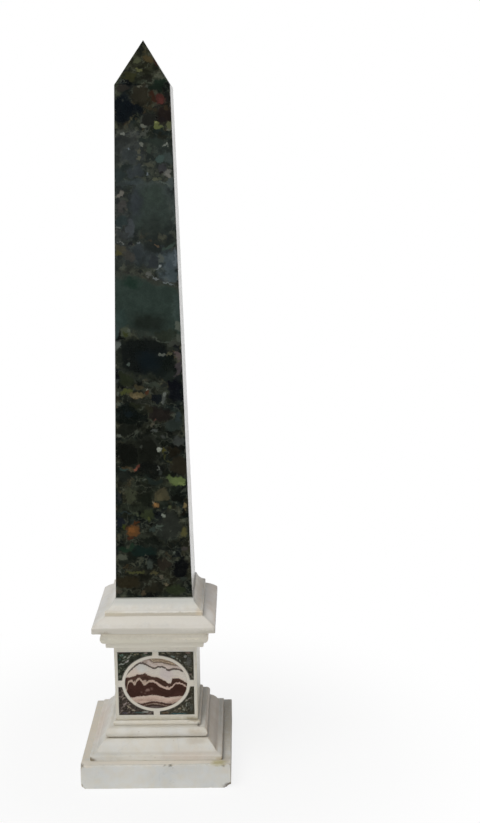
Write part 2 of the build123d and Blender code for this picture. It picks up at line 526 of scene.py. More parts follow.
def finish_surface(tree, surface, colour_out, roughness, height, relief, specular):
    """Feed colour, roughness and a bump whose relief is in millimetres."""
    tree.links.new(colour_out, surface.inputs["Base Color"])
    tree.links.new(roughness, surface.inputs["Roughness"])
    bump = put(tree, "ShaderNodeBump", {"Strength": 1.0, "Distance": relief * MM, "Height": height})
    tree.links.new(bump.outputs[0], surface.inputs["Normal"])
    surface.inputs["Specular IOR Level"].default_value = specular


# ------------------------ shared effects

MARBLE_GROUP = "aged marble"
CLAST_GROUP = "clast"
RIGHT_THROUGH = 400.0   # half depth of a stone that runs through the whole slab


def marble_group(stone):
    """White marble: clouds, faint grey veins, cream patina, dirt, worn edges and chips.

    Clouds and patina are noise of several sizes. A vein is where noise is close to its
    middle value. Dirt grows where the dirt value, broken up by noise, passes a threshold.
    """
    group, given, out = new_group(MARBLE_GROUP, {
        "Place": "vector", "Marble": tuple(stone.marble), "Patina": tuple(stone.patina),
        "Dirt": tuple(stone.dirt), "Broken": tuple(stone.broken), "Patina Share": 0.3,
        "Dirt Value": 0.0, "Edge Value": 0.0, "Broken Value": 0.0, "Matt": 0.35,
    }, {"Colour": "NodeSocketColor", "Roughness": "NodeSocketFloat", "Height": "NodeSocketFloat"})
    place = given["Place"]
    cloud = grain(group, place, 34, detail=5, rough=0.6)
    mottle = grain(group, place, 9, detail=4, rough=0.6)
    fine = grain(group, place, 1.6, detail=3, rough=0.6)
    shade = tint(group, ramp(group, cloud, 0.35, 0.7), given["Marble"],
                 tint(group, 1.0, given["Marble"], (0.90, 0.915, 0.935), "MULTIPLY"))
    bent = grain(group, place, 26, detail=6, rough=0.62, distort=0.6)
    ridge = calc(group, "ABSOLUTE", calc(group, "SUBTRACT", bent, 0.5))
    vein = calc(group, "MULTIPLY", ramp(group, ridge, 0.0, 0.018, 1.0, 0.0),
                ramp(group, cloud, 0.45, 0.62, 0.0, 0.45))
    shade = tint(group, vein, shade, (0.47, 0.48, 0.48))
    cream = calc(group, "MULTIPLY_ADD", mottle, 1.5, calc(group, "SUBTRACT", given["Patina Share"], 0.75))
    cream = calc(group, "ADD", cream, calc(group, "MULTIPLY", given["Dirt Value"], 0.55), clamp=True)
    cream = calc(group, "ADD", cream, calc(group, "MULTIPLY", given["Edge Value"], 0.12), clamp=True)
    shade = tint(group, cream, shade, given["Patina"])
    gather = calc(group, "ADD", calc(group, "MULTIPLY", given["Dirt Value"], 1.15),
                  calc(group, "MULTIPLY", calc(group, "SUBTRACT", mottle, 0.5), 1.3))
    gather = calc(group, "ADD", gather, calc(group, "MULTIPLY", calc(group, "SUBTRACT", fine, 0.5), 0.7))
    soil = ramp(group, gather, 0.62, 1.2)
    shade = tint(group, soil, shade, given["Dirt"])
    speck = cells(group, place, 7.5)
    spot = calc(group, "MULTIPLY", ramp(group, speck.outputs["Distance"], 0.035, 0.075, 1.0, 0.0),
                ramp(group, lots(group, speck)[0], 0.80, 0.83, 0.0, 0.55))
    shade = tint(group, spot, shade, given["Dirt"])
    shade = tint(group, given["Broken Value"], shade,
                 tint(group, ramp(group, fine, 0.3, 0.7), given["Broken"], given["Patina"]))
    group.links.new(shade, out["Colour"])
    gloss = calc(group, "MULTIPLY_ADD", calc(group, "SUBTRACT", mottle, 0.5), 0.3, given["Matt"])
    gloss = calc(group, "ADD", gloss, calc(group, "MULTIPLY", soil, 0.35))
    gloss = calc(group, "ADD", gloss, calc(group, "MULTIPLY", given["Broken Value"], 0.35), clamp=True)
    group.links.new(gloss, out["Roughness"])
    pits = calc(group, "MULTIPLY", spot, -0.6)
    height = calc(group, "MULTIPLY_ADD", fine, 0.5, calc(group, "MULTIPLY", cloud, 0.9))
    height = calc(group, "ADD", pits, height)
    rough = calc(group, "MULTIPLY", given["Broken Value"], calc(group, "SUBTRACT", fine, 0.5))
    height = calc(group, "MULTIPLY_ADD", rough, 4.0, height)
    group.links.new(height, out["Height"])
    return group


def clast_group():
    """One stone in the breccia, or one stain, laid over what is under it.

    The place is moved by the drift, and a little by the colour under it, so that the
    outline gives way to what it meets. Then it is turned and scaled, and the outline is
    where the reach is 1. The reach is halfway between the length of the place v and the
    root of the length of v*v, which is blunter than an ellipsoid. The cover fades over
    the softness.
    """
    group, given, out = new_group(CLAST_GROUP, {
        "Under": (0, 0, 0), "Place": "vector", "Drift": "vector", "Wander": 1.0,
        "Centre": "vector", "Half Size": "vector", "Turn": "vector", "Colour": (0, 0, 0),
        "Softness": 0.12, "Strength": 1.0,
    }, {"Colour": "NodeSocketColor"})
    pressed = aim(group, "MULTIPLY_ADD", given["Under"], (1.5, 1.5, 1.5), given["Place"])
    moved = aim(group, "ADD", pressed, aim(group, "SCALE", given["Drift"], scale=given["Wander"]))
    local = put(group, "ShaderNodeMapping", {"Vector": moved, "Location": given["Centre"],
                "Rotation": given["Turn"], "Scale": given["Half Size"]}, vector_type="TEXTURE").outputs[0]
    blunt_reach = calc(group, "SQRT", span(group, aim(group, "MULTIPLY", local, local)))
    reach = calc(group, "MULTIPLY", calc(group, "ADD", span(group, local), blunt_reach), 0.5)
    cover = ramp(group, reach, calc(group, "SUBTRACT", 1.0, given["Softness"]), 1.0, 1.0, 0.0)
    shade = tint(group, calc(group, "MULTIPLY", cover, given["Strength"]), given["Under"], given["Colour"])
    group.links.new(shade, out["Colour"])
    return group


def lay(tree, clast, shade, place, drift, share, softness, strength, centre, half_size, tone, turn=0.0):
    """Lay one stone or stain over a colour.

    share is how much of the drift it takes, and turn is anticlockwise from the front, in
    degrees.
    """
    return use(tree, clast, {
        "Under": shade, "Place": place, "Drift": drift, "Wander": share, "Centre": centre,
        "Half Size": half_size, "Turn": (0.0, np.radians(-turn), 0.0), "Colour": linear(*tone),
        "Softness": softness, "Strength": strength})["Colour"]


def lay_stones(tree, clast, shade, rows, place, drift, share, softness, strength):
    """Lay rows of stones over a colour, each an ellipsoid that runs right through in y.

    A row is the distance right of the middle, the height above the floor, the half
    width, the half height, the colour, and the turn if there is one.
    """
    for x, z, half_x, half_z, tone, *turn in rows:
        shade = lay(tree, clast, shade, place, drift, share, softness, strength,
                    (x, 0.0, z), (half_x, RIGHT_THROUGH, half_z), tone, *turn)
    return shade


def lay_stains_and_painted_light(tree, clast, shade, place, rows):
    """Lay stains, and patches of painted light and shade, on a marble. A row is the centre, half size,
    colour and strength of one.
    """
    ripple = aim(tree, "SUBTRACT", grain(tree, place, 3.0, detail=4, rough=0.7, output=1), (0.5, 0.5, 0.5))
    drift = aim(tree, "SCALE", ripple, scale=5.0)
    for centre, half_size, tone, strength in rows:
        shade = lay(tree, clast, shade, place, drift, 1.0, 0.75, strength, centre, half_size, tone)
    return shade


def shift(tree, shade, value, low, high, darker, lighter):
    """Darken a colour where a noise is low and lighten it where it is high."""
    return tint(tree, ramp(tree, value, low, high), tint(tree, 1.0, shade, (darker,) * 3, "MULTIPLY"),
                tint(tree, 1.0, shade, (lighter,) * 3, "MULTIPLY"))


def wander(tree, place, size, reach, detail=2.0):
    """Noise vector about nothing, of a size and a reach in millimetres."""
    wave = grain(tree, place, size, detail=detail, rough=0.6, output=1)
    return aim(tree, "MULTIPLY_ADD", wave, (reach,) * 3, (-reach / 2,) * 3)


# ------------------------ breccia

# The dark colours of the breccia's ground, and where each starts between 0 and 1.
BRECCIA_GROUND = (
    (0.0, (17, 22, 19)), (0.2, (31, 35, 27)), (0.36, (22, 29, 27)), (0.5, (38, 38, 28)),
    (0.63, (28, 34, 30)), (0.76, (16, 20, 21)), (0.87, (48, 50, 38)), (0.95, (58, 56, 42)),
)
# The stones that can be told apart, as rows for lay_stones, in the order in which they are laid.
BRECCIA_CLOUDS = (
    (0, 598, 17, 18, (36, 36, 24)), (-14, 562, 12, 16, (20, 24, 25)), (0, 570, 14, 12, (35, 34, 26)),
    (16, 560, 10, 18, (30, 27, 24)), (-12, 530, 17, 22, (51, 53, 53)), (13, 530, 13, 16, (34, 40, 35)),
    (-20, 470, 9, 38, (48, 50, 50)), (0, 446, 26, 12, (42, 48, 52)), (18, 436, 12, 18, (60, 69, 73)),
    (0, 358, 32, 24, (24, 26, 22)), (0, 331, 32, 12, (34, 36, 28)), (0, 292, 33, 32, (21, 24, 19)),
    (0, 250, 33, 20, (28, 32, 23)), (0, 210, 34, 22, (31, 35, 29)), (0, 174, 36, 18, (31, 30, 21)),
)
BRECCIA_LARGE = (
    # pyramidion and the head of the shaft
    (-10, 586, 7, 4.5, (42, 43, 25)), (4, 584, 5, 3, (24, 24, 18)), (14, 580.5, 6, 2.6, (21, 33, 24)),
    (-1, 607, 3, 5, (23, 26, 21)), (11.5, 595.5, 3, 5.5, (46, 27, 21), 32),
    (-15, 576, 5.6, 2.8, (40, 38, 34)), (-0.5, 572, 8, 8, (38, 36, 28), -30),
    (11, 577.5, 6.5, 2.8, (22, 31, 24)), (-16, 560, 9, 12, (11, 17, 21), 10),
    (-7, 561, 9.5, 5.5, (12, 17, 21), -14), (21, 566, 2.6, 9, (26, 26, 24)),
    (17, 556.5, 6.5, 4.5, (28, 22, 20)), (3.2, 551, 7.2, 7.4, (56, 59, 53)),
    (4.6, 552, 6.2, 6.4, (27, 28, 25)), (17.4, 540, 6.4, 3.4, (25, 25, 16), -10),
    (10.5, 535, 6.4, 4.4, (32, 40, 33), 10), (-0.5, 536, 4.4, 2.2, (24, 31, 27), 15),
    (-10, 524, 9, 8, (45, 49, 50)), (-14, 515, 5.4, 3.4, (19, 28, 25), 20),
    (6, 524, 4.6, 5, (15, 21, 17), 20), (-7, 512, 8.5, 5, (46, 51, 55)), (14, 514, 4.6, 3.6, (50, 48, 52)),
    (-20, 509, 5, 4, (34, 43, 43)), (-19, 503, 7, 3.2, (46, 52, 52)), (-8, 504, 8, 3.4, (52, 60, 62)),
    (20.5, 503, 4.4, 5, (68, 76, 75)), (19, 523, 4, 6, (53, 61, 58)),
    # the first smooth stone, with its pale head, and the column left of it
    (5, 487, 18.4, 20.6, (70, 78, 76)), (4.8, 483, 18.8, 23, (42, 52, 46)),
    (-12, 468, 4.6, 10.5, (62, 66, 70)), (-18, 484.5, 3.8, 5.6, (62, 58, 56)),
    (-20, 473.5, 5.2, 4.8, (35, 47, 48)), (-18, 463.5, 5.4, 4, (50, 52, 53)),
    (-20.5, 450, 6, 4.4, (69, 64, 48), -10), (-13, 445, 6.4, 3.6, (57, 53, 48), -15),
    (-6.5, 449, 5.4, 7.8, (40, 46, 50), 8), (5.2, 441, 4.4, 6.6, (33, 36, 41)),
    (5.6, 453, 8.8, 6.8, (18, 22, 20)), (17.5, 455.5, 7.4, 2.8, (20, 24, 16), 8),
    (19.6, 440, 6.4, 9.8, (68, 78, 83), 8), (21, 430, 5.4, 5.4, (60, 70, 73)),
    # the second smooth stone, right across the face
    (0, 405, 60, 28.5, (62, 60, 51), -14), (0, 404, 60, 27, (38, 51, 46), -14),
    (15, 381, 8.4, 6.8, (37, 43, 34), 10), (20, 373, 6.8, 3, (50, 53, 47), 6),
    # the deep black stone and what lies below it
    (-4.5, 362.6, 24, 19.6, (48, 54, 44)), (-4.5, 363.8, 24, 19.4, (11, 15, 15)),
    (14.6, 357, 7.6, 10, (14, 20, 17)), (24, 364.3, 3.6, 3.8, (74, 65, 64)),
    (23.8, 354.5, 4.4, 5.6, (55, 51, 53)), (-18.2, 345, 8, 5.4, (33, 38, 24), -14),
    (3, 340.6, 6.6, 3.2, (44, 50, 42)), (-7.7, 338, 4.4, 3.2, (56, 52, 36)),
    (21.2, 336, 7.4, 12, (12, 14, 19), 6), (6, 329.6, 5.4, 4.4, (12, 17, 21)),
    (-11.5, 323.4, 6.4, 3.2, (30, 34, 22)), (-18.5, 314.6, 12, 10, (11, 16, 13)),
    (-20, 303.5, 9, 5, (20, 23, 18)), (7.5, 317, 11.6, 7, (27, 23, 21), -6),
    (-1.5, 319.4, 4.2, 3.6, (35, 35, 25)), (19.6, 306.6, 9.4, 5.8, (37, 44, 40)),
    (22.4, 293, 5.4, 5.2, (53, 56, 53), -30), (-18.4, 284.6, 12.4, 12.8, (39, 42, 33)),
    (-19, 283.4, 12, 12.2, (12, 14, 11)), (-0.8, 285, 10.6, 15.4, (40, 43, 36)),
    (-1.8, 284, 10, 14.8, (17, 19, 14)), (19, 283.5, 6.4, 4.4, (24, 21, 13), -14),
    (21.5, 287.4, 8, 1.9, (14, 15, 12), -12), (23, 272, 9.4, 8, (36, 33, 24)),
    (0, 269, 15, 8.4, (15, 18, 15)), (2.2, 260, 10, 2.1, (28, 36, 32)),
    (-18, 248.4, 5.6, 8.4, (53, 56, 42), 6), (-6.2, 244, 6.4, 7.2, (21, 25, 18)),
    (8.2, 247.3, 6.4, 7.4, (62, 59, 43), -12), (-23, 263, 8.4, 6, (25, 29, 25)),
    (17, 347, 6, 5, (26, 32, 28)), (-22, 192, 6, 4, (27, 31, 25)), (-14, 197, 9, 5, (19, 23, 18)),
    (0, 208.5, 7, 4, (17, 21, 16)), (9.5, 350, 6, 3.6, (18, 24, 22)), (11.5, 340.5, 3.6, 3, (26, 30, 28)),
    (11.5, 266, 5, 2.6, (20, 23, 16)), (20.6, 245.2, 7.8, 5.4, (12, 14, 10)),
    (-3.5, 230.2, 7, 6, (44, 50, 32)), (-27.3, 225, 4.8, 4.8, (23, 27, 33)),
    (13.8, 221.5, 10.6, 13, (38, 41, 36), -10), (-20.7, 202, 8, 2.6, (27, 44, 32)),
    (-7.3, 198.8, 10.6, 5.2, (18, 32, 28)), (9.8, 187.8, 6.8, 5.4, (35, 31, 25)),
    (23.4, 185, 8.4, 10.4, (9, 11, 13)), (-23.5, 172.4, 12.4, 6.4, (38, 34, 22)),
    (-2.7, 166.6, 6.4, 4.4, (36, 35, 26)), (18.8, 166, 9.4, 5, (41, 48, 31)),
)
# Soft changes of tone over the large stones.
BRECCIA_BLOOMS = (
    (-7, 488, 8, 19, (43, 47, 54)), (7, 493, 10, 10, (47, 58, 50)), (6, 467, 14, 15, (28, 34, 29)),
    (23, 482, 3, 20, (66, 75, 71)), (-12, 424, 10, 6.4, (24, 43, 34), -10), (-22, 394, 7, 12, (42, 56, 52)),
    (1, 391, 22, 13, (23, 28, 23)), (24.5, 404, 5, 16, (54, 66, 62)), (0, 360, 15, 13, (14, 23, 27)),
    (-17, 317, 6, 4, (18, 26, 28)),
)
# Small fragments, laid last.
BRECCIA_CHIPS = (
    # pyramidion
    (-4.5, 598, 3.2, 2.7, (63, 66, 48)), (4.4, 599.3, 5.6, 3.3, (62, 54, 34), -20),
    (-2.8, 591, 2.9, 2.3, (76, 78, 50)),
    # head of the shaft
    (8.3, 570, 2.6, 6.2, (47, 29, 20), 10), (14.2, 568, 3.9, 5.6, (64, 36, 32), 12),
    (15, 566.4, 2, 2.8, (76, 42, 38)), (6.1, 561, 6.2, 1.4, (46, 42, 31), -27),
    (18.8, 561, 1.6, 2.5, (46, 39, 28)), (-2.2, 578, 2.6, 1.1, (80, 80, 69), -8),
    (3.4, 577.4, 2, 1.2, (56, 58, 52), 20), (0, 547.8, 2.7, 1.1, (88, 91, 82), -40),
    (10.6, 548.8, 2.9, 2.3, (85, 90, 54), -38), (12.2, 546.2, 3.9, 1.9, (82, 88, 53), 6),
    (10.4, 549.4, 1.2, 0.9, (118, 122, 84)), (21.2, 548.4, 2.6, 4.6, (76, 79, 56)),
    (15.7, 551.8, 3.4, 3, (27, 23, 24)), (-0.2, 541, 8.4, 1.7, (62, 65, 59), 37),
    (-16, 541.5, 2.2, 1.1, (100, 103, 96), 10), (-1.2, 533.3, 1.6, 1.5, (94, 97, 89), 40),
    (-11.2, 530.6, 1.2, 1, (86, 95, 98)), (17, 532, 3, 1.2, (106, 110, 102), 14),
    (-3.6, 527.7, 2, 2.5, (72, 73, 62)), (-4.2, 522.4, 2.1, 2.5, (76, 77, 65), 20),
    (4.9, 529.2, 2, 2.8, (50, 58, 50)), (13.2, 521.5, 4.7, 3.7, (57, 71, 67), 15),
    (4.1, 517, 4.8, 2.1, (64, 66, 56), -15), (3.2, 510.2, 1.4, 1, (86, 94, 98)),
    (18.6, 511.2, 4, 2.4, (92, 92, 87), 24), (19.8, 508.6, 3, 2.2, (100, 99, 93), -20),
    (9.8, 506.2, 4, 1.6, (72, 75, 60), 10), (13.8, 511.4, 2.1, 1.7, (27, 25, 25)),
    (17, 502.5, 6, 1, (70, 78, 72), -26),
    # left column
    (-19.2, 494, 4.8, 2, (96, 94, 87), 35), (-22, 488.6, 2.4, 2.6, (34, 36, 36)),
    (-22.4, 492, 1.6, 1, (84, 88, 76)), (-21.7, 468.6, 2.2, 1.3, (78, 84, 80)),
    (-22, 456.6, 1.2, 0.9, (94, 97, 94)), (-19.6, 456.9, 1, 1.4, (88, 91, 88)),
    (-17.4, 456, 1, 0.8, (90, 94, 92)), (-12.8, 455.3, 2.8, 2.2, (27, 29, 31)),
    (-5.8, 455.8, 1.5, 0.8, (80, 86, 86)), (-22, 447.6, 3.4, 1.8, (66, 63, 38)),
    # between the two smooth stones
    (8.6, 453.8, 3, 1.2, (74, 63, 51), -42), (3.9, 458.5, 2.8, 1.2, (53, 47, 38)),
    (18.6, 452.6, 7, 1.6, (53, 65, 58), 24), (12.4, 443.8, 3.4, 4.4, (70, 75, 70)),
    (18.4, 438.8, 1.9, 3.6, (56, 64, 69)), (24, 443.5, 2.2, 9, (80, 88, 93)),
    (10.8, 437, 1.5, 1.3, (120, 126, 126)), (8.3, 435, 3.8, 0.7, (82, 88, 88), 25),
    (1.2, 430.8, 3.2, 2.9, (80, 82, 77)), (7.1, 427.8, 4.8, 0.8, (88, 93, 92), -21),
    (17.5, 423.4, 7.2, 0.8, (87, 94, 94), -23),
    # left and right of the deep black stone
    (-18.1, 384.2, 4.7, 5.8, (60, 66, 53)), (-18.2, 382, 2.1, 2.7, (49, 54, 26)),
    (-15.6, 385.4, 1.4, 2.2, (71, 77, 68)), (-25.4, 385, 2.4, 7.4, (47, 59, 57)),
    (-25, 373, 3.2, 4.5, (80, 85, 81)), (-16.1, 357.8, 1.6, 1.7, (65, 74, 68)),
    (7.4, 377.6, 4.6, 0.8, (59, 64, 56), -40), (16.9, 376.3, 7.2, 0.9, (55, 61, 54), 12),
    (25, 388.5, 2.6, 5.4, (76, 82, 73)), (25, 379, 2.8, 4.2, (64, 69, 61)),
    (10.2, 365.4, 2.8, 1.5, (80, 84, 77)), (16.7, 365.8, 4.8, 1.1, (66, 66, 51)),
    # the tan streaks
    (-1, 342, 2.3, 1.2, (66, 70, 60)), (-26.6, 343, 1.8, 3, (50, 54, 50)),
    (-18.8, 335, 6.8, 2.6, (63, 67, 35), 3), (-26.5, 333.8, 1.9, 2.7, (70, 75, 66)),
    (-10.4, 331.8, 8.2, 2.3, (80, 72, 49), -4), (-10.8, 331, 5.2, 1.2, (100, 89, 64), -2),
    (-2.3, 333.8, 2.2, 2, (66, 42, 28)), (-2.2, 336.2, 1.1, 0.9, (102, 105, 96)),
    (11.8, 328.5, 2, 5.2, (66, 70, 66), -8), (13, 332.2, 1.3, 1.7, (88, 92, 86)),
    (11, 326.4, 1.5, 1.9, (86, 90, 84)), (-25.8, 325, 2.7, 2.1, (68, 72, 62)),
    # around the round black stones
    (22.9, 314, 2.6, 4.8, (37, 46, 47)), (2.3, 307.8, 3.5, 1, (67, 65, 54), 35),
    (5, 311.2, 1.6, 0.9, (70, 48, 40), 30), (3.7, 302.4, 3.9, 1.9, (63, 67, 63), -15),
    (-11.1, 301.3, 3.3, 1.5, (57, 61, 53), 40), (-25.9, 298.2, 2.9, 2, (75, 79, 72)),
    (-6.6, 300.3, 1.2, 1.1, (57, 58, 51)), (10.3, 297, 2.7, 1.6, (54, 57, 53)),
    (-6.9, 287.7, 1.2, 2.7, (51, 54, 48), 12), (6.9, 286.4, 1.9, 2.8, (126, 130, 119)),
    (7.6, 287.4, 0.9, 1.2, (150, 154, 143)), (11, 285.6, 2, 2.5, (65, 63, 30)),
    (11.3, 281.4, 4, 0.9, (47, 49, 28), -65), (15.1, 276.4, 3.5, 0.9, (49, 50, 31), -25),
    (-12.3, 269.3, 2.5, 1.9, (108, 66, 52)), (-10.3, 272.6, 1.6, 2.8, (84, 50, 40), -20),
    (-22, 269.2, 6.4, 0.8, (42, 56, 52)), (6.1, 270.3, 1.2, 2, (78, 81, 75)),
    (7.6, 266.6, 1.3, 2.7, (44, 48, 44)),
    # the green stone on the right and the tan ones
    (17.4, 260.8, 6.2, 2.7, (74, 86, 52), -24), (22.4, 259.4, 7.4, 4.9, (86, 99, 58)),
    (25, 257.4, 3, 2, (98, 111, 66)), (-15.4, 250.7, 1.9, 0.8, (24, 26, 20), 50),
    (-27.8, 246.5, 2, 5, (38, 40, 40)), (7.1, 245.2, 2.8, 3.4, (72, 68, 49), 10),
    (3.4, 239.3, 3, 2.3, (106, 83, 52)), (2.8, 239.8, 1.3, 1.0, (134, 98, 58)),
    (1.2, 241.2, 1.2, 1, (100, 96, 79)), (15.2, 237.6, 1.7, 2, (67, 73, 50)),
    (27.2, 237.6, 3.1, 2.8, (103, 91, 62)), (26, 232.2, 3.4, 2.5, (20, 18, 12)),
    (-2.6, 226.9, 2.7, 2, (60, 66, 36)), (-13.8, 231.3, 4.2, 1.6, (57, 63, 48), -25),
    (-22, 232.8, 7.4, 0.7, (38, 47, 46)), (8.8, 230.2, 1.9, 1.4, (112, 118, 108), 30),
    (6.7, 221.6, 3.8, 1.3, (66, 75, 66), 20), (5.2, 218.4, 3.5, 1, (62, 70, 62), -15),
    (0.4, 218.2, 3.3, 2.8, (48, 57, 52)), (-1.6, 222.6, 3, 1.2, (12, 14, 10)),
    # the orange stone and the foot
    (-19, 210.6, 3.2, 1.8, (60, 36, 24)), (-13.2, 224.4, 2.8, 1.8, (64, 40, 22)),
    (-16.2, 217.4, 6.5, 6.6, (90, 61, 33), 8), (-17, 218.6, 3.4, 3, (108, 71, 37), 30),
    (-24, 220.4, 2.1, 3.2, (53, 59, 24)), (26.6, 216, 2.9, 5.7, (77, 74, 44)),
    (24, 211.2, 3, 1.6, (56, 56, 42)), (-25.5, 194.4, 4.8, 2.9, (69, 73, 62), 15),
    (17.5, 197.7, 1, 2.1, (73, 79, 71)), (26.2, 201, 2.7, 2.3, (56, 53, 50)),
    (-2.5, 187.8, 3.8, 4.8, (54, 60, 54)), (-14, 181.2, 9.8, 1.4, (63, 65, 38), -3),
    (-28.9, 182.4, 1.3, 1.4, (67, 69, 63)), (0.9, 180.2, 3.4, 2, (67, 64, 43), -30),
    (6.5, 175.8, 2.1, 1.6, (78, 75, 63)), (10.2, 170.3, 2.4, 2.2, (91, 85, 67)),
    (-28.8, 163.9, 3.1, 3, (62, 59, 50)), (-9.1, 162.6, 2.4, 2.8, (64, 56, 43)),
    (25.2, 174.7, 3.5, 3, (42, 48, 42)),
)


def breccia_ground(tree, place, bent):
    """Two sizes of Voronoi cells, each cell one dark colour, in turns across the stone."""
    palette = put(tree, "ShaderNodeValToRGB", {0: lots(tree, cells(tree, bent, 12))[0]})
    palette.color_ramp.interpolation = "CONSTANT"
    for index, (position, shade) in enumerate(BRECCIA_GROUND):
        stop = (palette.color_ramp.elements[index] if index < 2
                else palette.color_ramp.elements.new(position))
        stop.position = position
        stop.color = (*linear(*shade), 1.0)
    bits = lots(tree, cells(tree, bent, 4.2))
    chipped = tint(tree, ramp(tree, bits[0], 0.2, 0.95), linear(20, 25, 21), linear(62, 64, 52))
    chipped = tint(tree, ramp(tree, bits[1], 0.93, 0.96, 0.0, 0.7), chipped, linear(84, 72, 50))
    where = ramp(tree, grain(tree, place, 19, detail=2), 0.47, 0.55, 0.0, 0.75)
    return tint(tree, where, palette.outputs[0], chipped)


def breccia_seams(tree, shade, place, drift):
    """Thin pale seams between clasts, where drawn-out noise is close to its middle value."""
    drawn = aim(tree, "MULTIPLY", aim(tree, "ADD", place, drift), (0.6, 0.6, 1.0))
    wave = grain(tree, drawn, 9, detail=1.5, rough=0.5)
    thread = calc(tree, "ABSOLUTE", calc(tree, "SUBTRACT", wave, 0.5))
    return tint(tree, ramp(tree, thread, 0.0, 0.022, 0.34, 0.0), shade, linear(84, 88, 76))


def breccia_painted_reflection(tree, shade, level):
    """Painted reflection: a thin grey haze over the smooth stones in the upper half of the shaft."""
    reflection_haze = calc(tree, "MULTIPLY", ramp(tree, level, 422, 440, 0.0, 0.34),
                ramp(tree, level, 530, 548, 1.0, 0.0))
    return tint(tree, reflection_haze, shade, linear(50, 56, 54))


def breccia_flecks(tree, shade, place, level):
    """Pale flecks in one Voronoi cell of four, near the shaft's head and in its lower half."""
    fleck = cells(tree, place, 5.2)
    spark = calc(tree, "MULTIPLY", ramp(tree, fleck.outputs["Distance"], 0.08, 0.19, 1.0, 0.0),
                 ramp(tree, lots(tree, fleck)[0], 0.72, 0.8, 0.0, 0.5))
    upper = calc(tree, "MULTIPLY", ramp(tree, level, 505, 520, 0.0, 1.0),
                 ramp(tree, level, 548, 562, 1.0, 0.15))
    lower = ramp(tree, level, 350, 320, 0.08, 0.6)
    spark = calc(tree, "MULTIPLY", spark, calc(tree, "ADD", upper, lower, clamp=True))
    return tint(tree, spark, shade, linear(104, 107, 95))


def breccia_material(stone, clast):
    """Dark breccia: named stones over a ground of clasts, fragments and flecks.

    Outlines give way to noise of three sizes, and to shards: inside each cell of a fine
    Voronoi pattern the place is drawn towards the cell's middle, which breaks an outline
    into short flats. A line of cement runs along the foot of the slab.
    """
    material, tree, surface, place = new_material("dark breccia")
    level = split(tree, place)[2]
    warp = stone.breccia_warp / MM

    broad, middle = wander(tree, place, 21, 5.2 * warp), wander(tree, place, 8, 3.4 * warp)
    near = aim(tree, "ADD", place, wander(tree, place, 2.6, 1.5 * warp, 3.0))
    away = aim(tree, "SUBTRACT", cells(tree, near, 2.7).outputs["Position"], near)
    broken_up = aim(tree, "MULTIPLY_ADD", away, (0.34, 0.34, 0.34), near)
    chipped_place = aim(tree, "MULTIPLY_ADD", away, (0.3, 0.3, 0.3), near)
    bent = aim(tree, "ADD", aim(tree, "ADD", broken_up, broad), middle)
    large_drift = aim(tree, "MULTIPLY_ADD", broad, (0.3, 0.3, 0.3), middle)

    shade = breccia_ground(tree, place, bent)
    mottle = grain(tree, place, 6, detail=4, rough=0.58)
    shade = lay_stones(tree, clast, shade, BRECCIA_CLOUDS, near, large_drift, 1.0, 0.6, 0.72)
    shade = shift(tree, shade, mottle, 0.36, 0.66, 0.66, 1.34)
    shade = breccia_seams(tree, shade, near, middle)
    shade = lay_stones(tree, clast, shade, BRECCIA_LARGE, broken_up, large_drift, 1.0, 0.36, 0.92)
    shade = lay_stones(tree, clast, shade, BRECCIA_BLOOMS, near, large_drift, 1.0, 0.8, 0.85)
    # Painted reflection over the upper half of the shaft.
    shade = breccia_painted_reflection(tree, shade, level)
    shade = shift(tree, shade, mottle, 0.36, 0.66, 0.9, 1.12)
    shade = breccia_flecks(tree, shade, broken_up, level)
    shade = lay_stones(tree, clast, shade, BRECCIA_CHIPS, chipped_place, middle, 0.4, 0.46, 0.95)
    fine = grain(tree, place, 1.3, detail=4, rough=0.7)
    shade = shift(tree, shade, fine, 0.3, 0.7, 0.91, 1.09)
    foot = slab_box("shaft_front_slab")[1]
    cement = ramp(tree, level, foot + 0.45, foot + 0.8, 0.9, 0.0)
    shade = tint(tree, cement, shade, linear(190, 192, 184))
    shade = tint(tree, 1.0, shade, (stone.breccia_gain,) * 3, "MULTIPLY")
    chip = attribute(tree, "broken")
    shade = tint(tree, calc(tree, "MULTIPLY", chip, 0.8), shade, linear(120, 118, 106))

    gloss = calc(tree, "MULTIPLY_ADD", mottle, 0.16, 0.10)
    gloss = calc(tree, "MULTIPLY_ADD", chip, 0.5, gloss, clamp=True)
    height = calc(tree, "MULTIPLY_ADD", mottle, 0.8, calc(tree, "MULTIPLY", fine, 0.25))
    finish_surface(tree, surface, shade, gloss, height, 0.05, 0.22)
    return material


# ------------------------ marbles

def level_strip(tree, shade, place, foot, head, tone, strength):
    """A level band of another tone, whose edges follow noise by half a millimetre."""
    blur = 0.25
    level = calc(tree, "SUBTRACT", split(tree, place)[2], 0.5)
    level = calc(tree, "MULTIPLY_ADD", grain(tree, place, 7, detail=3), 1.0, level)
    mask = calc(tree, "MULTIPLY", ramp(tree, level, foot - blur, foot + blur, 0.0, strength),
                ramp(tree, level, head - blur, head + blur, 1.0, 0.0))
    return tint(tree, mask, shade, linear(*tone))


